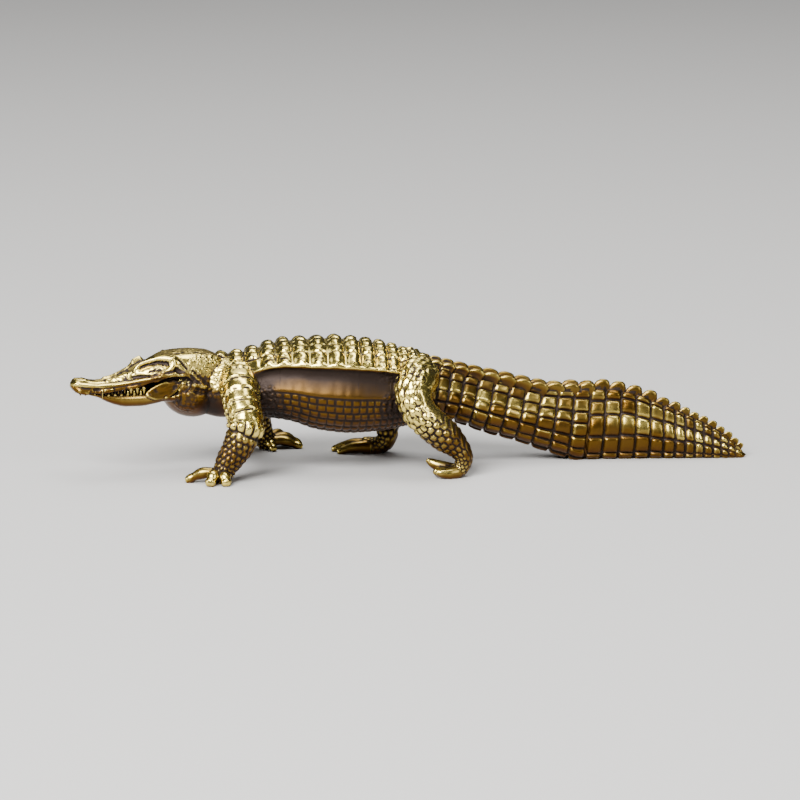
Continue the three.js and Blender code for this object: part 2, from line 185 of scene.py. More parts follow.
def combined(base, others, operation="UNION"):
    # joins or cuts solids and leaves one object with one closed mesh
    group = bpy.data.collections.new("operands")
    for other in others:
        group.objects.link(other)
    cut = base.modifiers.new("combine", "BOOLEAN")
    cut.operation = operation
    cut.solver = "MANIFOLD"
    cut.operand_type = "COLLECTION"
    cut.collection = group
    graph = bpy.context.evaluated_depsgraph_get()
    mesh = bpy.data.meshes.new_from_object(base.evaluated_get(graph))
    base.modifiers.clear()
    base.data = mesh
    for other in others:
        bpy.data.objects.remove(other)
    bpy.data.collections.remove(group)
    return base


# The body, neck to tail tip

body = {
    "back": [(-27, 12.9), (-24.5, 13.3), (-20, 13.6), (-14.4, 14.85), (-9, 15.1), (-5, 14.75), (-0.7, 13.6),
             (4, 12.1), (11.1, 9.75), (17.8, 7.75), (21.6, 7.35), (25.4, 7), (30.7, 5.4), (37, 2.9),
             (40.6, 0.75)],
    "belly": [(-27, 7.2), (-24.5, 6.65), (-22, 6.1), (-17.5, 6.15), (-14.4, 5.8), (-10.5, 4.6), (-6.8, 4.2),
              (-3, 4.4), (0.9, 5.1), (3.9, 5.5), (8.7, 3.9), (13.5, 2.2), (17.8, 0.65), (20.5, -0.28),
              (40.6, -0.28)],
    "halfWidth": [(-27, 3.2), (-24.5, 3.7), (-22, 4.3), (-17.5, 5.7), (-11, 6.8), (-7.5, 7), (-3, 6.4),
                  (0.9, 5.3), (3.9, 4.55), (8.7, 3.9), (13.5, 3.35), (19.7, 2.65), (27.2, 2), (34.7, 1.35),
                  (40.6, 0.45)],
    "drift": [(-27, -0.95), (-23.4, 0.1), (-15, -0.1), (-8, -0.2), (0, 0), (5, 0.5), (11, 1.4), (17, 2.1),
              (23, 2.3), (29, 2), (35, 1.5), (40.6, 1)],
    "lean": [(-27, 0), (-2, 0.02), (2, 0.15), (6, 0.27), (14, 0.25), (20, 0.12), (28, 0.05), (40.6, 0)],
    "trunkSection": [(0, 1), (0.37, 0.985), (0.7, 0.92), (0.94, 0.8), (0.93, 0.7), (0.99, 0.56), (1, 0.46),
                     (0.93, 0.28), (0.7, 0.1), (0.37, 0.02), (0, 0)],
    "neckSection": [(0, 1), (0.36, 0.97), (0.64, 0.88), (0.84, 0.75), (0.95, 0.62), (1, 0.49), (0.97, 0.34),
                    (0.85, 0.2), (0.64, 0.08), (0.35, 0.02), (0, 0)],
    "tailSection": [(0, 1), (0.34, 0.96), (0.48, 0.84), (0.66, 0.7), (0.92, 0.56), (1, 0.42), (0.97, 0.27),
                    (0.83, 0.14), (0.62, 0.05), (0.32, 0), (0, 0)],
    "shoulders": (-22.5, -16.5),
    "hips": (-1.5, 4.5),
    "rings": [(-2, -27), (0, -23.1), (5, -13.8), (9, -5.8), (12, -1.2), (14, 0.8), (17, 4.53), (22, 13.45),
              (26, 21.55), (31, 30.6), (33, 33.2), (39, 39.3), (40, 39.95), (41, 40.7)],
    "seamRing": 15,
    "seamLap": 0.02,
    "seamTuck": 0.9,
    "lastRing": 40,
}
back, belly, halfWidth, drift, lean = (
    profile(body[k]) for k in ("back", "belly", "halfWidth", "drift", "lean"))
ringPlace = profile(body["rings"])


def bodySkin(place, share, side, keel=0.0):
    tip = lean(place)
    half = (back(place) - belly(place)) / 2
    top, bottom = back(place + half * tip) + keel, belly(place - half * tip)
    middle = (top + bottom) / 2
    tailness = smooth(place, *body["hips"])[..., None]
    neckness = 1 - smooth(place, *body["shoulders"])[..., None]
    outline = mix(onSection(body["trunkSection"], share), onSection(body["neckSection"], share), neckness)
    outline = mix(outline, onSection(body["tailSection"], share), tailness)
    z = bottom + outline[..., 1] * (top - bottom)
    y = drift(place) + side * outline[..., 0] * halfWidth(place)
    return np.stack([place + (z - middle) * tip, y, z], axis=-1)


def sideLength(points, half):
    # length of one side's outline at every row, from the back to the belly
    return np.linalg.norm(np.diff(points[:, :half + 1], axis=1), axis=-1).sum(axis=1)[:, None]


def bothSides(half, first=1):
    # grid columns that run down one side and up the other: the line of the half section, and the side
    line = np.r_[0:half + 1, half - 1:0:-1]
    return line[None], np.where(np.arange(2 * half) <= half, first, -first)[None]


def narrowed(points, share):
    # draws every ring of a grid towards its own middle
    middle = points.mean(axis=1, keepdims=True)
    return middle + (points - middle) * share, middle[:, 0]


trunk = {
    "firstRing": -2,
    "start": (-0.3, 10),
    "rowEdges": [0, 0.085, 0.172, 0.28, 0.6],
    "rowLines": [9, 9, 9, 12],
    "bellyRows": 9,
    "linesPerBellyRow": 4,
    "columnsPerRing": 12,
    "crowding": 0.35,
    # plates of the shield, and where along the body their grooves start and reach full depth
    "shieldRows": 3,
    "plateDepth": 0.24,
    "plate": {"gap": (0.05, 0.03), "corner": 0.35, "slope": (0, 0.2)},
    "frontGroove": 0.5,
    "grooveStart": (-23, -19),
    "grooveDeepens": (-9, -4),
    # a boss on a plate: how far down it sits, its half length and half width, its roundness and its height
    "large": (0, 0.8, 0.85, 0.75, 0.42),
    "small": (0, 0.4, 0.26, 0.8, 0.126),
    "smallDown": 0.38,
    "lowestUpper": (-0.45, 0.8, 0.55, 0.75, 0.42),
    "lowestUnder": (0.5, 0.6, 0.42, 0.8, 0.2772),
    "bossShift": 0.2,
    "bossForward": 0.06,
    "bossSizes": (0.85, 1.15),
    # where along the body each row of bosses rises and fades
    "bossesOn": [((-24.2, -23), (8, 9)), ((-21.5, -20.5), (1.5, 3)), ((-18.5, -16.5), (-3, 0.5))],
    # the ledge and the smooth hide under it; a ridge is its line, its breadth and its height
    "flankOn": ((-18.6, -16.5), (-2.2, 0.2)),
    "ledge": (0.275, 0.03, 0.21),
    "ledgeWave": (0.25, 3.4),
    "hollowOn": ((0.29, 0.33), (0.34, 0.6)),
    "hollowDepth": 0.42,
    "hideOn": ((0.3, 0.36), (0.56, 0.6)),
    "fold": (0.372, 0.006, 0.07),
    "foldOn": ((-17, -14), (-12, -8)),
    "foldWave": (0.008, 1.3),
    "ribsOn": (0.42, 0.5),
    "ribHeight": 0.014,
    # small square scales of the belly
    "bellyStart": (-19, -17),
    "bellyFades": (-2, 1),
    "bellyEnd": 0.6,
    "bellyDepth": 0.15,
    "bellyScale": {"gap": (0.05, 0.04), "corner": 0.16, "slope": (0, 0.13)},
    "bellyStagger": 0.15,
    # how bright the brass is painted, by share of a side: on the body and on the neck; partly wear, partly
    # painted light, the back lighter where the light falls and the flank and belly darker in painted shade
    "rubbedAndLit": [(0, 0.9), (0.2, 1), (0.29, 1), (0.305, -0.6), (0.36, -1.3), (0.46, -1.15), (0.56, -0.7),
               (0.61, -0.15), (1, -0.25)],
    "rubbedAndLitNeck": [(0, 0.85), (0.3, 1), (0.42, 0.95), (0.5, 0.1), (0.6, -0.3), (1, -0.3)],
    "rubbedAndLitRump": 0.65,
}


def bossOn(along, across, down, halfLong, halfWide, power, tall):
    return tall * dome(along, across - down, halfLong, halfWide, power)


def shieldRelief(place, cell, dx, dy, width, high, random):
    # plates with grooves between them, each plate with a large and a small boss
    grooved = mix(trunk["frontGroove"], 1, smooth(place, *trunk["grooveDeepens"]))
    grooved = grooved * smooth(place, *trunk["grooveStart"])
    plates = trunk["plateDepth"] * (padOn(dx, dy, width, high, **trunk["plate"]) - 1) * grooved
    along = dx - trunk["bossForward"] + (random[..., 0] - 0.5) * trunk["bossShift"]
    across = dy + (random[..., 1] - 0.5) * trunk["bossShift"]
    lowest = cell == trunk["shieldRows"] - 1
    large = bossOn(along, across, *trunk["large"])
    large = np.where(lowest, bossOn(along, across, *trunk["lowestUpper"]), large)
    small = bossOn(dx, dy - high * trunk["smallDown"], *trunk["small"])
    small = np.where(lowest, bossOn(along, across, *trunk["lowestUnder"]), small)
    shown = 0
    for row, on in enumerate(trunk["bossesOn"]):
        shown = shown + (cell == row) * span(place, *on)
    bosses = (large * mix(*trunk["bossSizes"], random[..., 2]) + small) * shown
    return (cell < trunk["shieldRows"]) * (plates + bosses)


def flankRelief(place, share):
    # the ledge along the side, with a smooth hide below it
    ledge = ridge(share, *trunk["ledge"]) * (1 + wave(place, *trunk["ledgeWave"]))
    lift = ledge - trunk["hollowDepth"] * span(share, *trunk["hollowOn"])
    fold = ridge(share - wave(place, *trunk["foldWave"]), *trunk["fold"]) * span(place, *trunk["foldOn"])
    ribs = np.sin(place * 4.6 + 1.7 * np.sin(place * 0.9) + share * 6) * smooth(share, *trunk["ribsOn"])
    lift = lift + span(share, *trunk["hideOn"]) * (fold + trunk["ribHeight"] * ribs)
    return lift * span(place, *trunk["flankOn"])


def bellyRelief(place, cell, fx, dy, width, high):
    # rows of small square scales, two to a ring
    shown = (cell > trunk["shieldRows"]) * smooth(place, *trunk["bellyStart"])
    shown = shown * mix(1, trunk["bellyEnd"], smooth(place, *trunk["bellyFades"]))
    dx = np.abs((fx * 2 + trunk["bellyStagger"] * (cell % 3)) % 1 - 0.5) * width / 2
    return shown * trunk["bellyDepth"] * (padOn(dx, dy, width / 2, high, **trunk["bellyScale"]) - 1)


def trunkTube():
    rng = np.random.default_rng(11)
    edges = trunk["rowEdges"] + list(np.linspace(trunk["rowEdges"][-1], 1, trunk["bellyRows"] + 1)[1:])
    counts = trunk["rowLines"] + [trunk["linesPerBellyRow"]] * trunk["bellyRows"]
    shares, cells, across = [], [], []
    for cell, count in enumerate(counts):
        t = crowded(count, trunk["crowding"])
        shares.extend(edges[cell] + (edges[cell + 1] - edges[cell]) * t)
        cells.extend([cell] * count)
        across.extend(t)
    shares, cells, across = np.r_[shares, 1.0], np.r_[cells, len(counts) - 1], np.r_[across, 1.0]
    half = len(shares) - 1
    line, side = bothSides(half)
    rings = range(trunk["firstRing"], body["seamRing"])
    ring = np.concatenate([k + crowded(trunk["columnsPerRing"], trunk["crowding"]) for k in rings])
    ring = np.r_[ring, body["seamRing"] + body["seamLap"]][:, None]
    place = ringPlace(ring)
    share, cell, fy = shares[line], cells[line], across[line]
    base = bodySkin(place, share, side)
    k = np.floor(ring).astype(int)
    fx = ring - k
    width = ringPlace(k + 1) - ringPlace(k)
    high = (np.array(edges)[cell + 1] - np.array(edges)[cell]) * sideLength(base, half)
    random = rng.random((len(rings) + 2, 64, 4))[k - trunk["firstRing"], (side + 1) // 2 * 20 + cell]
    dx, dy = (fx - 0.5) * width, (fy - 0.5) * high
    lift = shieldRelief(place, cell, dx, dy, width, high, random) + flankRelief(place, share)
    lift = lift + bellyRelief(place, cell, fx, dy, width, high)
    tuck = np.where(ring > body["seamRing"], body["seamTuck"], 1)[..., None]
    points, middle = narrowed(raised(base, lift), tuck)
    behind, height = trunk["start"]
    first = (ringPlace(float(trunk["firstRing"])) + behind, drift(body["drift"][0][0]), height)
    last = middle[-1] + np.array([1.0, 0, 0])
    # painted brightness: partly wear, partly painted light on the back and painted shade on the flank
    bright = mix(profile(trunk["rubbedAndLitNeck"])(share), profile(trunk["rubbedAndLit"])(share),
                 smooth(place, *body["shoulders"]))
    bright = bright * mix(1, trunk["rubbedAndLitRump"], smooth(place, *body["hips"]))
    return asObject(wrapped(points, first, last, bright), "trunk")


tail = {
    # where the rows of scales meet, as shares of one side, at some places along the tail
    "rowPlaces": [4.5, 12.4, 16.4, 21.4, 21.7, 28, 36],
    "rowEdges": [
        [0.12, 0.12, 0.165, 0.17, 0.205, 0.12, 0.1],
        [0.22, 0.24, 0.29, 0.29, 0.32, 0.29, 0.27],
        [0.35, 0.365, 0.395, 0.4, 0.533, 0.5, 0.47],
        [0.5, 0.505, 0.525, 0.535, 0.72, 0.7, 0.66],
        [0.67, 0.655, 0.645, 0.66, 0.82, 0.8, 0.78],
        [0.84, 0.795, 0.785, 0.79, 0.91, 0.9, 0.9],
    ],
    "rowLines": [8, 8, 9, 10, 8, 8, 5],
    "rowCrowding": 0.55,
    "rowWobble": 0.022,
    "rowStep": 0.07,
    "columnsPerRing": 9,
    "columnsPerShortRing": 7,
    "firstShortRing": 31,
    "ringCrowding": 0.6,
    "tipRings": [0, 0.2, 0.45],
    "tipNarrow": [1, 0.85, 0.55],
    "tip": (40.6, 0.35),
    # the pads: how they are cut apart, and how each is lipped, domed, tilted and worn, and how bright they
    # are painted: darker towards the bottom in painted shade, with a painted highlight along one row of the
    # side and a random spread
    "depth": 0.34,
    "pad": {"gap": (0.07, 0.045), "corner": 0.28, "slope": (-0.03, 0.14)},
    "lean": 0.12,
    "lip": (0.1, 0.1, 0.05),
    "dome": 0.14,
    "sink": 0.03,
    "tilt": 0.2,
    "dent": 0.035,
    "unevenness": 0.07,
    "rubbedAndLit": [(0, 0), (0.2, 0.05), (0.4, -0.05), (0.6, -0.15), (0.8, -0.2), (1, -0.3)],
    "rubbedAndLitSpread": 0.5,
    "rubbedAndLitLine": (0.34, 0.09, 0.4),
    "keel": [(6, 0), (14, 0.45), (19, 0.95), (25, 1.1), (32, 0.8), (38, 0.3), (40, 0)],
}


def padRelief(fx, fy, width, tall, random):
    # square pads with grooves between them, each a little lipped, domed and tilted
    pad = padOn((fx - 0.5) * width, (fy - 0.5) * tall, width, tall, **tail["pad"])
    thin = np.clip(tall / 0.9, 0.4, 1) * np.clip(width / 1.4, 0.45, 1)
    top = tail["lean"] * (0.5 - fy) + ridge(fy, *tail["lip"]) - tail["sink"]
    top = top + tail["dome"] * (1 - (2 * fx - 1) ** 2) * (1 - (2 * fy - 1) ** 2)
    top = top + tail["tilt"] * ((random[..., 0] - 0.5) * (fx - 0.5) + (random[..., 1] - 0.5) * (fy - 0.5))
    top = top + tail["dent"] * np.sin(fx * 5 + random[..., 3] * 6) * np.sin(fy * 4 + random[..., 0] * 6)
    top = top + tail["unevenness"] * (random[..., 2] - 0.5)
    return thin * (tail["depth"] * (pad - 1) + pad * top)


def tailTube():
    rng = np.random.default_rng(5)
    seam, end = body["seamRing"], body["lastRing"]
    edgeAt = [profile(list(zip(tail["rowPlaces"], edges))) for edges in tail["rowEdges"]]
    rings = []
    for k in range(seam, end):
        count = tail["columnsPerShortRing"] if k >= tail["firstShortRing"] else tail["columnsPerRing"]
        rings.extend(k + crowded(count, tail["ringCrowding"]))
    ring = np.r_[seam - body["seamLap"], rings, end + np.array(tail["tipRings"])][:, None]
    place = ringPlace(ring)
    k = np.clip(np.floor(ring).astype(int), seam, end - 1)
    fx = np.clip(ring - k, 0, 1)
    wobble = (rng.random((50, len(edgeAt))) - 0.5) * tail["rowWobble"]

    def edgesOf(number):
        middle = ringPlace(number + 0.5)
        inner = [edge(middle) + wobble[number, j] for j, edge in enumerate(edgeAt)]
        return np.stack([np.zeros_like(middle), *inner, np.ones_like(middle)], axis=-1)[:, 0]
    here, before, after = edgesOf(k), edgesOf(np.maximum(k - 1, seam)), edgesOf(np.minimum(k + 1, end - 1))
    edges = mix((before + here) / 2, here, smooth(fx, 0, tail["rowStep"]))
    edges = mix(edges, (after + here) / 2, smooth(fx, 1 - tail["rowStep"], 1))

    rows = tail["rowLines"]
    cells = np.r_[np.repeat(np.arange(len(rows)), rows), len(rows) - 1]
    t = np.r_[np.concatenate([crowded(count, tail["rowCrowding"]) for count in rows]), 1.0]
    half = len(cells) - 1
    line, side = bothSides(half)
    cell, fy = cells[line], t[line]
    column = np.broadcast_to(cell, (len(ring), 2 * half))
    low, high = (np.take_along_axis(edges, column + step, axis=1) for step in (0, 1))
    share = low + (high - low) * fy
    base = bodySkin(place, share, side, profile(tail["keel"])(place))
    width = ringPlace(k + 1.0) - ringPlace(k * 1.0)
    tall = (high - low) * sideLength(base, half)
    random = rng.random((50, 16, 4))[k, (side + 1) // 2 * 8 + cell]
    tuck = np.ones_like(ring)
    tuck[0], tuck[-3:, 0] = body["seamTuck"], tail["tipNarrow"]
    points, middle = narrowed(raised(base, padRelief(fx, fy, width, tall, random)), tuck[..., None])
    first = middle[0] - np.array([1.0, 0, 0])
    tipPlace, tipHeight = tail["tip"]
    # painted brightness of the tail: a painted highlight along one row of the side, darker towards the
    # bottom, and a random spread pad by pad
    bright = profile(tail["rubbedAndLit"])(share) + ridge(share, *tail["rubbedAndLitLine"])
    bright = bright + tail["rubbedAndLitSpread"] * (random[..., 3] - 0.5)
    return asObject(wrapped(points, first, (tipPlace, drift(tipPlace), tipHeight), bright), "tail")


# The crest on the tail: low pairs of scutes that close up into one row of tall ones

crest = {
    "heights": [(2, 0.5), (8, 1), (13, 1.3), (17, 1.7), (20, 1.95), (23, 2.25), (28, 2.1), (33, 1.6),
                (38, 1), (40, 0.5)],
    "offsets": [(0, 1.35), (6, 1.2), (12, 0.95), (17, 0.6), (21.5, 0.34)],
    "spreads": [(0, 0.5), (8, 0.36), (14, 0.22), (21.5, 0.1)],
    "thickness": [(0, 0.55), (8, 0.5), (16, 0.46), (23, 0.58), (30, 0.46), (36, 0.3), (40, 0.17)],
    "grid": (20, 12),
    "middle": 0.6,  # where a scute stands, as a share of its ring
    "width": 0.62,
    "root": 0.9,
    "sizeSpread": 0.12,
    "squareness": 2.7,
    "dished": (0.6, 0.35, 0.9),
    "leanBack": 0.17,
    "flare": (1.5, 0.85),
    "sideDrop": 0.1925,
    "sunk": 0.05,
    "rubbedAndLit": 0.12,
    "firstPair": 14,
    "firstSingle": 26,
}
crestHeight, crestOffset, crestSpread, crestThickness = (
    profile(crest[k]) for k in ("heights", "offsets", "spreads", "thickness"))


def scute(ring, side, rng):
    place = float(ringPlace(ring + crest["middle"]))
    width = float(ringPlace(ring + 1.0) - ringPlace(ring * 1.0))
    tall = float(crestHeight(place)) * (1 + crest["sizeSpread"] * (rng.random() - 0.5))
    thick = float(crestThickness(place))
    bm = bmesh.new()
    bmesh.ops.create_uvsphere(bm, u_segments=crest["grid"][0], v_segments=crest["grid"][1], radius=1)
    bmesh.ops.rotate(bm, matrix=Matrix.Rotation(math.pi / 2, 3, "X"), verts=bm.verts)
    power = crest["squareness"]
    shallow, inner, outer = crest["dished"]
    for vert in bm.verts:
        x, y, z = vert.co
        far = math.hypot(x, z)
        dish = mix(shallow, 1, smooth(far, inner, outer))
        if far > 0.01:
            squarer = (abs(x / far) ** power + abs(z / far) ** power) ** (-1 / power)
            x, z = x * squarer, z * squarer
        x = crest["width"] * x + crest["leanBack"] * max(z, 0) ** 1.5
        flare = mix(*crest["flare"], smooth(z, -0.6, 0.5))
        vert.co = (width * x, thick * y * dish * flare, (tall if z > 0 else crest["root"]) * z)
    outward = side * float(crestSpread(place))
    slope = float(back(place + 0.5) - back(place - 0.5))
    turn = Matrix.Rotation(-math.atan(slope), 4, "Y") @ Matrix.Rotation(-outward, 4, "X")
    bmesh.ops.transform(bm, matrix=turn, verts=bm.verts)
    sideways = side * float(crestOffset(place))
    x, y, z = bodySkin(np.array(place), np.array(0.0), np.array(1.0))
    drop = crest["sideDrop"] * (sideways / float(halfWidth(place))) ** 2 * float(back(place) - belly(place))
    bmesh.ops.translate(bm, vec=Vector((x, y + sideways, z - drop - crest["sunk"])), verts=bm.verts)
    return asObject(bm, "scute", crest["rubbedAndLit"])


def crestScutes():
    rng = np.random.default_rng(3)
    made = [scute(k, side, rng) for k in range(crest["firstPair"], crest["firstSingle"]) for side in (-1, 1)]
    made += [scute(k, 0, rng) for k in range(crest["firstSingle"], body["lastRing"])]
    return made


# The legs and toes, as (x, y, z, radius) along each one

legs = {
    "leftFore": {
        "path": [(-19.8, -2.5, 11.2, 2.3), (-19.9, -5, 10.4, 2.35), (-19.7, -6.7, 8.7, 2.1),
                 (-19.35, -7.8, 6.6, 2.05), (-20.2, -8.3, 4.3, 1.75), (-21.5, -8.6, 2.2, 1.4),
                 (-22.3, -8.95, 0.5, 1.05)],
        "across": (1, 0, 0), "grid": (72, 86), "outer": 0.75,
        "pits": [(-20.37, -9.75, 8.08), (-18.99, -9.75, 8.18)],
        "toes": [
            [(-22.4, -8.8, 1, 0.75), (-24, -8.6, 1.2, 0.66), (-25.3, -8.4, 0.75, 0.58),
             (-26.1, -8.3, 0.25, 0.46)],
            [(-22.5, -9, 1, 0.75), (-23.1, -9.8, 1.1, 0.72), (-23.4, -10.4, 0.7, 0.68),
             (-23.55, -10.75, 0.3, 0.56)],
            [(-22.1, -9.1, 1, 0.7), (-21.9, -9.9, 1, 0.66), (-21.75, -10.5, 0.65, 0.62),
             (-21.7, -10.8, 0.3, 0.52)],
            [(-22, -8.6, 0.9, 0.65), (-21.6, -7.6, 0.7, 0.55), (-21.5, -6.9, 0.28, 0.4)],
        ],
    },
    "rightFore": {
        "path": [(-19, 2.5, 11, 2.3), (-19, 5, 10, 2.3), (-18.8, 6.9, 8.2, 2.1), (-18.3, 8.2, 6, 1.95),
                 (-17.6, 9, 3.7, 1.65), (-16.9, 9.5, 1.9, 1.3), (-16.3, 9.7, 0.5, 1.05)],
        "across": (1, 0, 0), "grid": (60, 72), "outer": 0.25,
        "toes": [
            [(-16, 9.9, 1.1, 0.7), (-15.2, 10.8, 1.6, 0.6), (-14.4, 11.4, 1.2, 0.52),
             (-13.8, 11.7, 0.22, 0.42)],
            [(-15.9, 9.8, 1, 0.75), (-14.4, 10.4, 1.3, 0.62), (-13.2, 10.7, 0.85, 0.52),
             (-12.4, 10.9, 0.22, 0.42)],
            [(-15.9, 9.6, 0.9, 0.7), (-14.5, 9.6, 1, 0.62), (-13.2, 9.6, 0.6, 0.52),
             (-12.3, 9.5, 0.2, 0.42)],
            [(-16.2, 9.4, 0.8, 0.65), (-15.9, 8.5, 0.7, 0.55), (-15.6, 7.8, 0.28, 0.4)],
        ],
    },
    "leftHind": {
        "path": [(1.2, -2.5, 11.2, 2.5), (0.7, -4.9, 10.8, 2.4), (0.3, -6.5, 9.6, 2.15),
                 (0.9, -7.2, 7.8, 1.95), (2.3, -7.3, 6.3, 1.95), (3.9, -7.3, 4.9, 1.9),
                 (5.3, -7.35, 3.6, 1.4), (6.05, -7.4, 2.4, 1.1), (5.75, -7.45, 1.15, 0.95),
                 (4.9, -7.55, 0.6, 0.9)],
        "across": (0, 1, 0), "grid": (72, 108), "outer": 0.5, "front": 0.25,
        "toes": [
            [(6.1, -7.45, 1.1, 0.5), (5.2, -7.8, 0.65, 0.85), (4.2, -8.3, 0.58, 0.7),
             (3.4, -8.5, 0.7, 0.56), (2.9, -8.6, 0.85, 0.36)],
            [(6.0, -7.3, 1.1, 0.5), (5, -7, 0.75, 0.8), (3.6, -6.7, 1.05, 0.72), (2.6, -6.4, 1.4, 0.6),
             (1.95, -6.2, 1.75, 0.3)],
            [(6.1, -7.4, 1.1, 0.5), (5.1, -7.4, 0.65, 0.85), (4, -7.5, 0.6, 0.7), (3.1, -7.6, 0.66, 0.6),
             (2.7, -7.7, 0.76, 0.4)],
        ],
    },
    "rightHind": {
        "path": [(0.5, 2.5, 11, 2.5), (-0.4, 5, 10.4, 2.4), (-1.6, 6.6, 8.9, 2.15), (-2.3, 7.2, 7, 1.95),
                 (-2.2, 7, 5, 1.75), (-2, 6.5, 3.2, 1.4), (-2.1, 6.3, 1.7, 1.15), (-3, 6.35, 0.95, 1.1),
                 (-4.6, 6.7, 0.8, 1.1)],
        "across": (0, 1, 0), "grid": (60, 84), "outer": 0.0, "front": 0.25,
        "toes": [
            [(-4, 7, 0.75, 0.9), (-5.6, 7.7, 0.85, 0.72), (-6.9, 8.3, 0.6, 0.56), (-7.9, 8.6, 0.22, 0.42)],
            [(-4, 6.6, 0.8, 0.95), (-5.8, 6.9, 0.95, 0.78), (-7.3, 7.3, 0.65, 0.56),
             (-8.4, 7.6, 0.22, 0.42)],
            [(-4, 6.2, 0.75, 0.9), (-5.5, 6, 0.85, 0.72), (-6.8, 6.1, 0.6, 0.56), (-7.8, 6.2, 0.22, 0.42)],
        ],
    },
    "firstRow": 0.02,
    "tipBends": (22, 45, 68),
    "tipReach": 0.6,
    "pit": (0.36, 0.3),
    "toeGrid": (18, 20),
    # how bright the toes are painted: painted light on their tops, and painted shade on the far right feet
    "toeRubbedAndLit": 0.5,
    "toeRubbedAndLitRight": 0.25,
    "knuckleWave": (0.05, 2.2),
    "nailGroove": (0.72, 0.04, 0.07),
    "hindKnuckles": 0.3,
    # how bright the brass is painted, by share along a foreleg and a hind leg, and on the side turned
    # inwards: partly wear, partly painted light on the upper arm and thigh, and painted shade on the lower
    # leg and the inner side
    "rubbedAndLitFore": [(0, 1), (0.47, 1), (0.56, 0.6), (0.62, 0.05), (0.88, -0.15), (1, 0.15)],
    "rubbedAndLitHind": [(0, 0.9), (0.36, 1), (0.46, 0.25), (0.7, -0.15), (0.85, 0), (1, 0.25)],
    "rubbedAndLitInside": 0.0,
    "insideFrom": (0.22, 0.36),
}


def pathThrough(path):
    # a smooth line through the points of a limb, by the share of the way along it
    points = np.array(path, float)[:, :3]
    points = np.vstack([2 * points[0] - points[1], points, 2 * points[-1] - points[-2]])

    def at(share):
        place = np.clip(share, 0, 1) * (len(points) - 3)
        i = np.clip(place.astype(int), 0, len(points) - 4)
        t = (place - i)[:, None]
        p0, p1, p2, p3 = (points[i + k] for k in range(4))
        d0, d1, d2 = (np.sqrt(np.linalg.norm(b - a, axis=1))[:, None]
                      for a, b in ((p0, p1), (p1, p2), (p2, p3)))
        v1 = ((p1 - p0) / d0 - (p2 - p0) / (d0 + d1) + (p2 - p1) / d1) * d1
        v2 = ((p2 - p1) / d1 - (p3 - p1) / (d1 + d2) + (p3 - p2) / d2) * d1
        return p1 + v1 * t + (3 * p2 - 3 * p1 - 2 * v1 - v2) * t ** 2 + (2 * p1 - 2 * p2 + v1 + v2) * t ** 3
    return at


def limbSkin(path, across, around, rows):
    # a round skin along a path, with a rounded end; also the share along, the turn and the very tip
    line = pathThrough(path)
    sizes = np.array(path, float)[:, 3]
    radius = profile(list(zip(np.linspace(0, 1, len(sizes)), sizes)))
    bend = np.radians(legs["tipBends"])
    at = np.linspace(legs["firstRow"], 1, rows - len(bend))
    reach = np.r_[np.zeros(len(at)), np.sin(bend)] * legs["tipReach"] * radius(1.0)
    narrow = np.r_[np.ones(len(at)), np.cos(bend)]
    at = np.r_[at, np.ones(len(bend))]
    step = 1e-3
    along = line(np.minimum(at + step, 1)) - line(np.maximum(at - step, 0))
    along /= np.linalg.norm(along, axis=1, keepdims=True)
    out = np.array(across, float) - along * (along @ np.array(across, float))[:, None]
    out /= np.linalg.norm(out, axis=1, keepdims=True)
    over = np.cross(out, along)
    turn = np.arange(around) / around
    angle = turn * math.tau
    ring = np.cos(angle)[None, :, None] * out[:, None] + np.sin(angle)[None, :, None] * over[:, None]
    centre = line(at) + along * reach[:, None]
    points = centre[:, None] + ring * (radius(at) * narrow)[:, None, None]
    last = line(np.array([1.0]))[0] + along[-1] * legs["tipReach"] * radius(1.0)
    return points, at[:, None] + 0 * turn, turn[None] + 0 * at[:, None], last


def turnFrom(turn, centre):
    # how far round the limb a spot is from a given side, 0 to 0.5
    return np.abs((turn - centre + 0.5) % 1 - 0.5)


# patches of round scales: how far it is round the limb, the size of a scale and how the scales are cut
patches = {
    "armInside": {"girth": 12.5, "size": (0.75, 0.62), "jitter": 0.22},
    "shoulder": {"girth": 14, "size": (0.85, 0.8), "jitter": 0.2, "depth": 0.2},
    "elbow": {"girth": 12.5, "size": (1.05, 1.15), "jitter": 0.05, "stagger": 0, "depth": 0.3, "bulge": 0.28,
              "gap": 0.4},
    "forearm": {"girth": 10.4, "size": (0.72, 0.66), "jitter": 0.14, "depth": 0.2, "bulge": 0.12,
                "gap": 0.27},
    "wrist": {"girth": 7.5, "size": (0.5, 0.45), "jitter": 0.3, "depth": 0.12, "gap": 0.4},
    "thigh": {"girth": 13.6, "size": (0.86, 0.8), "jitter": 0.27, "depth": 0.2, "bulge": 0.16, "gap": 0.32},
    "rump": {"girth": 13.6, "size": (0.42, 0.4), "jitter": 0.3, "depth": 0.06, "bulge": 0.04, "gap": 0.4},
    "shank": {"girth": 11.4, "size": (0.92, 0.8), "jitter": 0.1, "depth": 0.24},
    "foot": {"girth": 7.5, "size": (0.55, 0.5), "jitter": 0.3, "depth": 0.0525, "bulge": 0.035, "gap": 0.4},
}


def scales(patch, turn, along, rng):
    # grooves between round scales, with each scale slightly domed
    cut = {"stagger": 0.5, "depth": 0.16, "bulge": 0.1, "gap": 0.3, **patches[patch]}
    around = max(4, round(cut["girth"] / cut["size"][0]))
    nearest, second = pebbleField(turn * around, along / cut["size"][1], around, rng,
                                  cut["jitter"], cut["stagger"])
    grooves = cut["depth"] * (smooth((second - nearest) / cut["gap"]) - 1)
    return grooves + cut["bulge"] * np.maximum(0, 1 - (nearest / 0.6) ** 2)


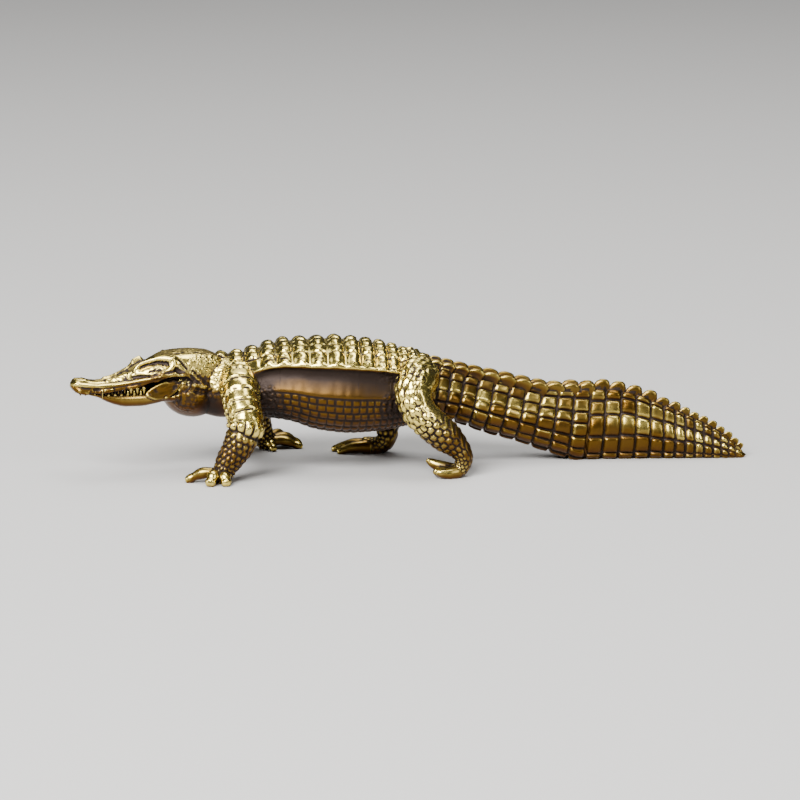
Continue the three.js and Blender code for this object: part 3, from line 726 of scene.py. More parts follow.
foreleg = {
    "bands": 5,
    "bandsAlong": (0.12, 0.5),
    # where each part lies, by share along the leg
    "bandsOn": ((0.1, 0.15), (0.47, 0.5)),
    "elbowOn": ((0.49, 0.515), (0.575, 0.6)),
    "forearmOn": ((0.585, 0.61), (0.84, 0.9)),
    "wristFrom": (0.85, 0.9),
    # the bands: how far round they reach, how they wave, and the rise and the two edges of each
    "bandFace": (0.17, 0.2),
    "bandWave": (0.16, 2.2),
    "bandRipple": (0.05, 40),
    "bandRise": 0.187,
    "bandFall": ((0.9, 0.98), 0.242),
    "bandFoot": ((0, 0.07), 0.176),
    "split": (0.185, 0.012, 0.16),
    "elbowStart": 0.488,
    "elbowLength": 13,
}


def foreRelief(leg, at, turn, along, rng):
    # bands over the upper arm, large scales at the elbow, and finer ones down to the wrist
    outer = turnFrom(turn, leg["outer"])
    face = 1 - smooth(outer, *foreleg["bandFace"])
    onArm = span(at, *foreleg["bandsOn"])
    band = wave(outer * math.tau, *foreleg["bandWave"], np.cos) + wave(turn, *foreleg["bandRipple"])
    start, end = foreleg["bandsAlong"]
    saw = ((at - start) / (end - start) * foreleg["bands"] + band) % 1
    (fall, fallHeight), (foot, footHeight) = foreleg["bandFall"], foreleg["bandFoot"]
    slant = foreleg["bandRise"] * (saw - 0.45) - fallHeight * smooth(saw, *fall)
    slant = slant - footHeight * (1 - smooth(saw, *foot))
    lift = onArm * (face * slant + (1 - face) * scales("armInside", turn, along, rng))
    lift -= onArm * ridge(outer, *foreleg["split"])
    lift += (1 - smooth(at, *foreleg["bandsOn"][0])) * scales("shoulder", turn, along, rng)
    fromElbow = (at - foreleg["elbowStart"]) * foreleg["elbowLength"]
    lift += span(at, *foreleg["elbowOn"]) * scales("elbow", turn, fromElbow, rng)
    lift += span(at, *foreleg["forearmOn"]) * scales("forearm", turn, along, rng)
    return lift + smooth(at, *foreleg["wristFrom"]) * scales("wrist", turn, along, rng)


hindLeg = {
    # where each part lies, by share along the leg, then by how far round from the front
    "kneeFrom": (0.4, 0.47),
    "shankTo": (0.72, 0.78),
    "footFrom": (0.72, 0.8),
    "rumpFrom": (0.27, 0.33),
    "calfFrom": (0.3, 0.36),
    "calfWrinkle": 0.06,
}


def hindRelief(leg, at, turn, along, rng):
    # round scales with a finely pebbled rump and a wrinkled calf
    front = turnFrom(turn, leg["front"])
    rear, calf = smooth(front, *hindLeg["rumpFrom"]), smooth(front, *hindLeg["calfFrom"])
    thigh = 1 - smooth(at, *hindLeg["kneeFrom"])
    shank = span(at, hindLeg["kneeFrom"], hindLeg["shankTo"])
    lift = thigh * (1 - rear) * scales("thigh", turn, along, rng)
    lift += thigh * rear * scales("rump", turn, along, rng)
    lift += shank * (1 - calf) * scales("shank", turn, along, rng)
    lift += shank * calf * hindLeg["calfWrinkle"] * np.sin(along * 7 + 2 * np.sin(turn * 30))
    return lift + smooth(at, *hindLeg["footFrom"]) * scales("foot", turn, along, rng)


def toeSolid(toe, name, fore):
    points, at, turn, last = limbSkin(toe, (0, 0, 1), *legs["toeGrid"])
    onTop = smooth(np.cos(turn * math.tau), -0.2, 0.6)
    knuckles = wave(at * math.tau, *legs["knuckleWave"], np.cos) - onTop * ridge(at, *legs["nailGroove"])
    knuckles *= 1 if fore else legs["hindKnuckles"]
    # painted light on the tops of the toes, with painted shade on the far right feet
    bright = legs["toeRubbedAndLitRight" if "right" in name else "toeRubbedAndLit"]
    bright = bright * onTop * mix(0.4, 1, smooth(at, 0.3, 0.7))
    return asObject(wrapped(raised(points, knuckles), toe[0][:3], last, bright), "toe")


def limbSolids():
    made = []
    for number, name in enumerate(("leftFore", "rightFore", "leftHind", "rightHind")):
        leg, fore = legs[name], "Fore" in name
        rng = np.random.default_rng(20 + number)
        points, at, turn, last = limbSkin(leg["path"], leg["across"], *leg["grid"])
        steps = np.linalg.norm(np.diff(points.mean(axis=1), axis=0), axis=1)
        along = np.r_[0, np.cumsum(steps)][:, None] + 0 * turn
        lift = (foreRelief if fore else hindRelief)(leg, at, turn, along, rng)
        for pit in leg.get("pits", []):
            lift -= ridge(np.linalg.norm(points - pit, axis=-1), 0, *legs["pit"])
        # painted brightness along the leg, with painted shade on the side turned inwards
        bright = profile(legs["rubbedAndLitFore" if fore else "rubbedAndLitHind"])(at)
        bright = mix(bright, legs["rubbedAndLitInside"], smooth(turnFrom(turn, leg["outer"]), *legs["insideFrom"]))
        made.append(asObject(wrapped(raised(points, lift), leg["path"][0][:3], last, bright), name))
        made += [toeSolid(toe, name, fore) for toe in leg["toes"]]
    return made


# The head, drawn along its own axis: forward from the neck, sideways with left positive, and up

head = {
    "neckJoint": (-23.4, 0.1),
    "yaw": math.radians(16),
    "tops": [(-2, 12.6), (-0.9, 13.5), (0.2, 13.95), (2.2, 14.2), (4.2, 14.15), (5.3, 13.98), (6.4, 13.55),
             (7.4, 13.1), (8.6, 12.7), (9.8, 12.15), (11, 11.65), (12.4, 11.3), (13.7, 11.3), (15, 11.5),
             (15.9, 11.58), (16.3, 11.52), (16.55, 11.4), (16.75, 11.2)],
    "bottoms": [(-2, 8), (2.2, 9.2), (4.2, 10.4), (5.3, 11), (7.6, 11), (8.8, 10.6), (9.8, 10.35),
                (11, 10.2), (12.4, 10), (13.4, 9.85), (14.4, 9.98), (15.5, 9.85), (16.1, 10), (16.5, 10.3),
                (16.75, 10.65)],
    "halfWidths": [(-2, 3), (0.2, 3.7), (2.2, 3.75), (4.2, 3.6), (6.4, 3.2), (7.6, 2.85), (8.8, 2.5),
                   (9.8, 2.15), (11, 1.85), (12.4, 1.6), (13.7, 1.45), (15, 1.35), (15.9, 1.2),
                   (16.3, 1.05), (16.55, 0.82), (16.75, 0.5)],
    "section": [(0, 1), (0.45, 0.99), (0.68, 0.9), (0.84, 0.64), (0.97, 0.36), (1, 0.16), (0.9, 0.03),
                (0.5, 0), (0, 0)],
    "spacing": [(0, 0), (0.2, 0.17), (0.8, 0.74), (1, 1)],
    # how bright the head is painted, by share from the top: partly wear, partly painted light on the top and
    # sides, and painted shade at the lips and below
    "rubbedAndLit": [(0, 0.4), (0.16, 0.45), (0.24, 0.8), (0.37, 0.8), (0.46, 0.05), (0.6, 0), (1, 0)],
    "along": (16.75, -0.9), "tip": (16.88, 10.95), "end": (-1.6, 11), "grid": (134, 46),
}

jaw = {
    "tops": [(1, 10.8), (4.5, 10.4), (7.2, 9.9), (8.8, 9.75), (11.6, 9.6), (12.8, 9.7), (15, 10.05)],
    "bottoms": [(1, 7.8), (4.5, 8.3), (6.1, 8.5), (7.2, 8.3), (8.8, 8.05), (10.5, 8.08), (11.6, 8.34),
                (12.8, 8.85), (13.6, 9.3), (15, 9.75)],
    "halfWidths": [(1, 3.2), (4.5, 3.1), (7.2, 2.65), (8.8, 2.2), (10.5, 1.75), (12.8, 1.25), (15, 0.75)],
    "section": [(0, 1), (0.7, 0.98), (0.95, 0.8), (1, 0.5), (0.85, 0.18), (0.5, 0.02), (0, 0)],
    "spacing": [(0, 0), (1, 1)],
    # the lower jaw is painted darker downwards, as painted shade
    "rubbedAndLit": [(0, 0.35), (0.4, 0.2), (1, 0)],
    "along": (15, 3), "tip": (15.6, 9.95), "end": (1, 9.5), "grid": (70, 24),
}

# rounded masses: where, half sizes, how finely, the tilt up to the rear, and how bright each is painted,
# partly wear and partly painted light, with painted shade in the cut at the corner of the mouth
masses = {
    "jowls": {"at": (2.1, 0, 9.35), "half": (3.6, 3.95, 3.1), "grid": (60, 40), "rubbedAndLit": 0.12},
    "mouthCorner": {"at": (5.75, 3.5, 10.45), "half": (2.85, 1.2, 1.32), "grid": (40, 28), "tilt": 0.25,
                    "rubbedAndLit": -0.3},
    "jawPlate": {"at": (6.2, 2.5, 10.15), "half": (2.3, 0.62, 0.92), "grid": (52, 30), "tilt": 0.32,
                 "rubbedAndLit": 0.05},
}

teeth = {
    "upper": {"along": (8.6, 12.9), "count": 7, "radius": 0.22, "length": 0.75, "height": 10.5, "point": -1},
    "lower": {"along": (8.9, 12.5), "count": 6, "radius": 0.2, "length": 0.7, "height": 9.6, "point": 1},
    "front": {"along": (14.2, 15.9), "count": 4, "radius": 0.24, "length": 0.5, "height": 10.25, "point": -1},
    "fang": {"along": (13.35, 13.35), "count": 1, "radius": 0.28, "length": 1.15, "height": 10.35,
             "point": -1},
    "inset": 0.2,
    "root": 0.4,  # how far a tooth reaches into the jaw, where it narrows and leans inwards
    "rootWidth": 0.4,
    "rootInward": 0.35,
    "segments": 8,
    "sizeSpread": 0.3,
    "tipWidth": 0.25,
}


def headLoft(part, name):
    top, bottom, width = (profile(part[k]) for k in ("tops", "bottoms", "halfWidths"))
    rows, half = part["grid"]
    station = np.linspace(*part["along"], rows)[:, None]
    line, side = bothSides(half, -1)
    share = profile(part["spacing"])(line / half) + 0 * station
    outline = onSection(part["section"], share)
    z = bottom(station) + outline[..., 1] * (top(station) - bottom(station))
    points = np.stack([station + 0 * z, side * outline[..., 0] * width(station), z], axis=-1)
    ends = [(place, 0, height) for place, height in (part["tip"], part["end"])]
    return asObject(wrapped(points, *ends, profile(part["rubbedAndLit"])(share)), name)


def mass(name, side):
    sizes = masses[name]
    bm = bmesh.new()
    bmesh.ops.create_uvsphere(bm, u_segments=sizes["grid"][0], v_segments=sizes["grid"][1], radius=1)
    bmesh.ops.scale(bm, vec=sizes["half"], verts=bm.verts)
    forward, sideways, height = sizes["at"]
    place = Matrix.Translation((forward, side * sideways, height))
    turn = Matrix.Rotation(sizes.get("tilt", 0), 4, "Y")
    bmesh.ops.transform(bm, matrix=place @ turn, verts=bm.verts)
    return asObject(bm, name, sizes["rubbedAndLit"])


def toothRow(row, side, rng):
    width = profile(head["halfWidths"] if row["point"] < 0 else jaw["halfWidths"])
    made = []
    for forward in np.linspace(*row["along"], row["count"]):
        size = 1 + teeth["sizeSpread"] * (rng.random() - 0.5)
        bm = bmesh.new()
        bmesh.ops.create_cone(bm, cap_ends=True, segments=teeth["segments"], radius1=row["radius"] * size,
                              radius2=row["radius"] * teeth["tipWidth"], depth=row["length"] * size)
        foot = [face for face in bm.faces if face.normal.z < -0.9]
        rooted = bmesh.ops.extrude_face_region(bm, geom=foot)["geom"]
        bmesh.ops.delete(bm, geom=foot, context="FACES_ONLY")
        rooted = [part for part in rooted if isinstance(part, bmesh.types.BMVert)]
        bmesh.ops.scale(bm, vec=(teeth["rootWidth"], teeth["rootWidth"], 1), verts=rooted)
        bmesh.ops.translate(bm, vec=(0, 0, -teeth["root"]), verts=rooted)
        if row["point"] < 0:
            bmesh.ops.rotate(bm, matrix=Matrix.Rotation(math.pi, 3, "X"), verts=bm.verts)
        bmesh.ops.translate(bm, vec=(0, -side * teeth["rootInward"], 0), verts=rooted)
        out = side * (float(width(forward)) - teeth["inset"])
        middle = row["height"] + row["point"] * row["length"] / 2
        bmesh.ops.translate(bm, vec=(forward, out, middle), verts=bm.verts)
        made.append(asObject(bm, "tooth"))
    return made


def vertexData(mesh, name):
    found = np.zeros(len(mesh.vertices) * 3, np.float32)
    mesh.vertices.foreach_get(name, found)
    return found.reshape(-1, 3).astype(float)


def distanceTo(points, path):
    path = np.array(path, float)
    best = np.full(len(points), 1e9)
    for a, b in zip(path[:-1], path[1:]):
        t = np.clip((points - a) @ (b - a) / ((b - a) @ (b - a)), 0, 1)
        best = np.minimum(best, np.linalg.norm(points - a - t[:, None] * (b - a), axis=1))
    return best


def stroke(path, radius, push, up=0, sides=(1, 1)):
    # one stroke of a round tool: how far it pushes along the skin's own direction and straight up,
    # and how much of that the left and the right side get
    return path, radius, push, up, sides


def carve(mesh, strokes):
    for path, radius, push, up, sides in strokes:
        points, normals = vertexData(mesh, "co"), vertexData(mesh, "normal")
        touch = np.zeros((len(points), 1))
        for side, share in zip((1, -1), sides):
            onSkin = [points[np.linalg.norm(points - (f, side * l, z), axis=1).argmin()] for f, l, z in path]
            far = distanceTo(points, onSkin)
            touch = np.maximum(touch, share * np.maximum(0, 1 - (far / radius) ** 2)[:, None] ** 2)
        points += (normals * push + np.array((0, 0, up))) * touch
        mesh.vertices.foreach_set("co", points.astype(np.float32).ravel())
        mesh.update()


# strokes of the chaser's tool on the head
headStrokes = [
    # brow, then the slit of the eye and the lids around it
    stroke([(9, 1.75, 12.7), (8.4, 1.8, 12.9), (7.2, 1.95, 13), (6.1, 2.2, 13.1), (5.2, 2.5, 13)],
           0.78, 0.2, 0.62, (1, 0)),
    stroke([(8.9, 1.75, 12.8), (8.1, 1.8, 12.95)], 0.72, 0.15, 0.6, (0, 1)),
    stroke([(10.3, 2, 12), (9.2, 2.4, 12.1), (8, 2.75, 12.2), (6.8, 3, 12.3), (5.6, 3.1, 12.6), (5, 3, 13.1)],
           0.5, 0.24),
    stroke([(9.1, 2.2, 12.95), (8.1, 2.35, 13.15), (7, 2.5, 13.3), (5.9, 2.75, 13.25)], 0.36, -0.6),
    stroke([(9, 1.95, 13.4), (8, 2.1, 13.7), (6.9, 2.2, 13.9), (5.8, 2.45, 13.8), (5.1, 2.7, 13.5)],
           0.3, 0.08, 0.05, (1, 0)),
    stroke([(8.4, 2.5, 12.6), (7.5, 2.7, 12.7), (6.4, 2.9, 12.8)], 0.3, 0.12),
    stroke([(9.9, 2.2, 11.75), (9, 2.5, 11.75), (8.2, 2.8, 11.85)], 0.32, -0.2),
    # the ridge down to the snout, the lip and the wavy edge of the mouth
    stroke([(12.5, 0.8, 11.6), (11.5, 1, 12), (10.6, 1.2, 12.3), (9.7, 1.5, 12.6)], 0.5, 0.2, 0.06),
    stroke([(9.8, 0.2, 12.4), (8.8, 0.1, 12.9), (7.8, 0, 13.2)], 0.8, -0.16),
    stroke([(16.4, 0.9, 11.2), (15.9, 1.15, 11.1), (14.8, 1.4, 11), (13.6, 1.45, 10.9), (12.4, 1.6, 10.95),
            (11.1, 1.85, 11.05), (9.7, 2.3, 11.3), (8, 2.8, 11.6), (6.3, 3.2, 11.95), (5.1, 3.4, 12.05),
            (4.1, 3.5, 11.6), (3.3, 3.7, 10.9), (3, 3.7, 10.1), (3.4, 3.6, 9.5)], 0.36, 0.2),
    stroke([(15.9, 1.05, 10.4), (15.1, 1.2, 10.2)], 0.45, 0.14, -0.06),
    stroke([(13.1, 1.4, 10.3), (12.4, 1.5, 10.35)], 0.45, 0.12, -0.08),
    stroke([(10.2, 2, 10.6), (9.4, 2.2, 10.7)], 0.45, 0.12, -0.08),
    stroke([(14.2, 1.3, 10.4), (13.8, 1.35, 10.4)], 0.35, -0.14),
    stroke([(11.3, 0, 11.75), (12.4, 0, 11.35), (13.8, 0, 11.3)], 0.5, -0.12),
    stroke([(16.1, 0.45, 11.5), (15.3, 0.5, 11.6)], 0.6, 0.08, 0.05),
    stroke([(15.8, 0.5, 11.8), (15.6, 0.55, 11.8)], 0.22, -0.16),
    # the leaf of the jaw inside the corner of the mouth: its rim, its upper edge and its dished middle
    stroke([(8.3, 2.6, 9.65), (7.4, 2.8, 9.3), (6.2, 2.9, 9.2), (5.3, 3, 9.65), (4.5, 3.1, 10.5),
            (4.2, 3.1, 11)], 0.26, 0.2),
    stroke([(8.3, 2.6, 9.9), (7.6, 2.8, 10.45), (6.8, 2.9, 10.9), (6, 2.9, 11)], 0.26, 0.16),
    stroke([(7.2, 3, 10), (6.2, 3.1, 10.1), (5.3, 3.1, 10.45)], 0.6, -0.16),
    # the back of the head, the fold behind the mouth and the throat
    stroke([(4.9, 2.4, 13.7), (4.3, 3, 13), (3.6, 3.4, 12.2), (2.7, 3.6, 11.3), (1.8, 3.7, 10.4)], 0.5, 0.24),
    stroke([(4.4, 2.6, 13.6), (3.8, 3.2, 12.6), (3, 3.6, 11.6), (2.2, 3.7, 10.8)], 0.26, -0.2),
    stroke([(5, 3.1, 12.7), (4.5, 3.3, 12.1)], 0.4, -0.26),
    stroke([(4.6, 0, 14.2), (2.5, 0, 14.3), (0.5, 0, 14)], 0.8, 0.1),
    stroke([(4.4, 1.3, 14.1), (2.6, 1.5, 14.1), (1, 1.6, 13.8)], 0.5, -0.1),
    stroke([(2.7, 3.5, 9.9), (1.6, 3.9, 9.7), (0.4, 3.8, 9.3), (-0.6, 3.6, 9)], 0.45, -0.2),
    stroke([(2.9, 3.6, 10.6), (1.6, 3.8, 10.3), (0.4, 3.7, 9.9), (-0.4, 3.6, 9.6)], 0.45, 0.2),
]


def headSolid():
    rng = np.random.default_rng(8)
    skull = combined(headLoft(head, "skull"), [headLoft(jaw, "jaw"), mass("jowls", 0)])
    skull = combined(skull, [mass("mouthCorner", side) for side in (-1, 1)], "DIFFERENCE")
    added = [mass("jawPlate", side) for side in (-1, 1)]
    for side in (-1, 1):
        for row in ("upper", "lower", "front", "fang"):
            added += toothRow(teeth[row], side, rng)
    skull = combined(skull, added)
    carve(skull.data, headStrokes)
    cos, sin = math.cos(head["yaw"]), math.sin(head["yaw"])
    x, y = head["neckJoint"]
    skull.data.transform(Matrix(((-cos, sin, 0, x), (-sin, -cos, 0, y), (0, 0, 1, 0), (0, 0, 0, 1))))
    return skull


def clearSpecks(piece, fewest=8):
    # joining the solids leaves a few loose specks of two or three faces, which are deleted
    bm = bmesh.new()
    bm.from_mesh(piece.data)
    left, specks = set(bm.faces), []
    while left:
        island, rim = set(), {next(iter(left))}
        while rim:
            island |= rim
            rim = {near for face in rim for edge in face.edges for near in edge.link_faces} - island
        left -= island
        if len(island) < fewest:
            specks.extend(island)
    bmesh.ops.delete(bm, geom=specks, context="FACES")
    bm.to_mesh(piece.data)
    bm.free()


def floorBlock(size=200):
    # what lies under the floor, to cut the soles and the tail flat
    bm = bmesh.new()
    bmesh.ops.create_cube(bm, size=size)
    bmesh.ops.translate(bm, vec=(0, 0, -size / 2), verts=bm.verts)
    return asObject(bm, "floorBlock")


trunkSolid = trunkTube()
tailSolid = tailTube()
scutes = crestScutes()
print("body and crest modelled")
limbs = limbSolids()
print("legs and toes modelled")
skull = headSolid()
print("head modelled")
alligator = combined(trunkSolid, [tailSolid, skull] + scutes + limbs)
alligator = combined(alligator, [floorBlock()], "DIFFERENCE")
clearSpecks(alligator)
alligator.name = alligator.data.name = "castAlligator"
print("joined into one casting")


# The finish

class Wire:
    # one output of a node; arithmetic on it adds Math nodes
    def __init__(self, tree, socket=None):
        self.tree = tree
        self.socket = socket

    def add(self, kind, settings=None, sockets=None, output=0):
        node = self.tree.nodes.new(kind)
        for name, value in (settings or {}).items():
            setattr(node, name, value)
        for name, value in (sockets or {}).items():
            if isinstance(value, Wire):
                self.tree.links.new(value.socket, node.inputs[name])
            else:
                node.inputs[name].default_value = value
        return Wire(self.tree, node.outputs[output] if node.outputs else None)

    def maths(self, operation, *values):
        return self.add("ShaderNodeMath", {"operation": operation}, dict(enumerate(values)))

    def __add__(self, other):
        return self.maths("ADD", self, other)

    def __sub__(self, other):
        return self.maths("SUBTRACT", self, other)

    def __rsub__(self, other):
        return self.maths("SUBTRACT", other, self)

    def __mul__(self, other):
        return self.maths("MULTIPLY", self, other)

    __radd__, __rmul__ = __add__, __mul__

    def between(self, low, high):
        return self.add("ShaderNodeMapRange", {"interpolation_type": "SMOOTHSTEP"},
                        {"Value": self, "From Min": low, "From Max": high})


# skin of fine pebbles, as balls (x, y, z, radius) that it fills
pebbleZones = [
    (-23.6, -2.5, 11.5, 3.6), (-22, 2.5, 11.5, 4), (-24.4, 0, 14, 2.6), (-26.4, -2.8, 11.3, 2),
    (-26.4, 3.4, 11.3, 2), (-16.9, -5.6, 9.4, 1.8), (-16.6, 5.6, 9, 2), (-15.3, -5.2, 6.6, 2.2),
    (-15.3, 5.2, 6.6, 2.2), (-26.2, -3.6, 8.8, 1.8), (-27.2, 3, 8.8, 1.8), (-33.7, -3.9, 12.2, 1.3),
    (-34.2, -1.9, 12.2, 1.3), (-29.6, -4.7, 12.4, 1.1), (-31.1, 0.8, 12.4, 1.1), (-27.9, -1.3, 14.4, 2.6),
    (-2.6, -5.4, 8.4, 1.9), (-2.8, 5.4, 8.2, 2.2), (-2.4, -6, 12.2, 1.6), (-2.4, 6, 12.2, 1.6),
]

# corners given painted shade and patina, as balls (x, y, z, radius)
shadedCornerZones = [
    (-16.4, -5.8, 9.2, 1.9), (-16.2, 5.8, 9, 2), (-16.2, -5.2, 6.8, 2.4), (-16.2, 5.2, 6.8, 2.4),
    (-2, -5.4, 7.6, 2.4), (-2, 5.4, 7.6, 2.4), (-23.2, -3.4, 7.8, 2.2), (-23.2, 3.4, 7.8, 2.2),
    (4.4, -5.2, 8, 1.8), (4.4, 5.2, 8, 1.8), (-26.2, -4.7, 10.8, 1.3), (-28.3, 2.7, 10.8, 1.3),
]

# how the marks of wear, patina and painted light and shade are read off the finished form
marks = {
    "fineTurns": 5,
    "broadTurns": 60,
    "softTurns": 3,
    "hollowBend": (0.15, 1.3),
    "raisedBend": (0.2, 3),
    "recessDepth": (0.05, 0.4),
    # rays that find how much sky each point sees, for the painted shade in sheltered places
    "rays": 20,
    "rayReach": 4.0,
    "openSky": (0.25, 0.85),
    # which downward-facing surfaces get painted shade
    "undersideShade": (-0.4, 0.65),
    "pebbleCore": 0.75,
    "cornerCore": 0.3,
    # how dark the sheltered corners are painted, as painted shade
    "cornerRubbedAndLit": -0.2,
    "hideRubbedAndLit": (-0.5, -0.2),
    "hideHollow": 0.3,
}


def edgeEnds(mesh):
    # both ends of every edge, and how many edges meet in each point
    ends = np.zeros(len(mesh.edges) * 2, np.int32)
    mesh.edges.foreach_get("vertices", ends)
    a, b = ends.reshape(-1, 2).T
    count = len(mesh.vertices)
    return a, b, np.bincount(a, minlength=count) + np.bincount(b, minlength=count)


def neighbourMean(mesh, values, times):
    # the values of the points, averaged with their neighbours over and over
    a, b, degree = edgeEnds(mesh)
    for turn in range(times):
        total = np.empty_like(values)
        for axis in range(values.shape[1]):
            total[:, axis] = np.bincount(a, values[b, axis], len(degree))
            total[:, axis] += np.bincount(b, values[a, axis], len(degree))
        values = (values + total / degree[:, None]) / 2
    return values


def openness(mesh, points, normals):
    # the share of the sky that each point sees, by rays over its half of the world
    tree = BVHTree.FromPolygons(points.tolist(), [tuple(face.vertices) for face in mesh.polygons])
    rng = np.random.default_rng(2)
    spread = rng.normal(size=(marks["rays"], 3))
    spread /= np.linalg.norm(spread, axis=1, keepdims=True)
    seen = np.zeros(len(points))
    for index, (point, normal) in enumerate(zip(points, normals)):
        start = Vector(point + normal * 0.02)
        for ray in spread * np.sign(spread @ normal)[:, None]:
            if tree.ray_cast(start, Vector(ray), marks["rayReach"])[0] is None:
                seen[index] += 1
    return seen / marks["rays"]


def addAttribute(mesh, name, values):
    attribute = mesh.attributes.get(name) or mesh.attributes.new(name, "FLOAT", "POINT")
    attribute.data.foreach_set("value", values.astype(np.float32))


def inside(points, balls, core):
    share = np.zeros(len(points))
    for x, y, z, radius in balls:
        far = np.linalg.norm(points - np.array((x, y, z)), axis=1)
        share = np.maximum(share, 1 - smooth(far, radius * core, radius))
    return share


def markRelief(mesh):
    # where the hollows keep their patina, where the undersides, sheltered corners and broad recesses get
    # painted shade, and where the brass is painted bright, partly rubbed bright by handling and partly as
    # painted light
    points, normals = vertexData(mesh, "co"), vertexData(mesh, "normal")
    a, b, degree = edgeEnds(mesh)
    squared = ((points[a] - points[b]) ** 2).sum(axis=1)
    spacing = (np.bincount(a, squared, len(points)) + np.bincount(b, squared, len(points))) / degree
    spacing = neighbourMean(mesh, spacing[:, None], marks["softTurns"])[:, 0]
    fine, broad = (((neighbourMean(mesh, points, marks[turns]) - points) * normals).sum(axis=1)
                   for turns in ("fineTurns", "broadTurns"))
    bend = fine / (spacing + 1e-4)
    sky = neighbourMean(mesh, openness(mesh, points, normals)[:, None], marks["softTurns"])[:, 0]
    corners = inside(points, shadedCornerZones, marks["cornerCore"])
    rubbedAndLit = np.zeros(len(points), np.float32)
    mesh.attributes["rubbedAndLit"].data.foreach_get("value", rubbedAndLit)
    kept = mix(marks["hideHollow"], 1, smooth(rubbedAndLit, *marks["hideRubbedAndLit"]))
    addAttribute(mesh, "hollow", smooth(bend, *marks["hollowBend"]) * kept)
    # raised parts are painted brighter: wear on the high points and a painted highlight
    addAttribute(mesh, "raisedPart", smooth(-bend, *marks["raisedBend"]))
    # broad recesses, such as the armpits, darken: patina and painted shade
    addAttribute(mesh, "recess", smooth(broad, *marks["recessDepth"]))
    # painted shade where little of the sky is seen and in the listed corners, with some patina
    addAttribute(mesh, "occlusionShade", np.maximum(1 - smooth(sky, *marks["openSky"]), corners))
    # painted brightness, set low in the corners as painted shade
    addAttribute(mesh, "rubbedAndLit", mix(rubbedAndLit, marks["cornerRubbedAndLit"], corners))
    # painted shade on the surfaces that face down
    addAttribute(mesh, "undersideShade", smooth(-normals[:, 2], *marks["undersideShade"]))
    addAttribute(mesh, "pebbled", inside(points, pebbleZones, marks["pebbleCore"]))


brassFinish = {
    "polished": (0.86, 0.68, 0.17, 1),
    # the dark brass for unworn parts, darkened to serve as painted shade on the sides and flank as well
    "agedAndShaded": (0.11, 0.055, 0.008, 1),
    # a dark reddish painted shade for the undersides and sheltered corners
    "paintedUnderShade": (0.08, 0.027, 0.01, 1),
    # dark patina for the hollows, also laid on as painted shade in sheltered corners, broad recesses and the
    # flank
    "patinaAndShadeColour": (0.015, 0.008, 0.005, 1),
    "tarnishSize": 260.0,
    "speckSize": 2600.0,
    "pebbleSize": 2300.0,
    "pebbleGap": (0.35, 0.7),
    "pebbleHeight": 0.00012,
    "grain": 0.00003,
    "grainStrength": 0.3,
    # how much each mark adds to the wear and painted light, to the patina and painted shade and to the
    # reddish painted shade, and where each shows
    "wearAndLight": {"raisedPart": 0.5, "blotches": 0.6, "undersideShade": -0.15, "occlusionShade": -0.2},
    "wearAndLightShows": (-0.05, 1.05),
    "patinaAndShade": {"hollow": 1.5, "recess": 0.12, "occlusionShade": 0.45, "blotches": 0.5, "gaps": 0.5,
             "raisedPart": -0.25, "rubbedAndLit": -0.35},
    "patinaAndShadeShows": (-0.125, 0.655),
    "paintedUnderShadeBy": {"undersideShade": 0.85, "occlusionShade": 0.35, "wornAndLit": -0.3},
    "paintedUnderShadeShows": (0.4, 1.2),
    "roughness": 0.31,
    "roughnessBy": {"patinaAndShade": 0.22, "wornAndLit": -0.1, "specks": 0.12},
    "patinaAndShadeDulls": 0.25,
}


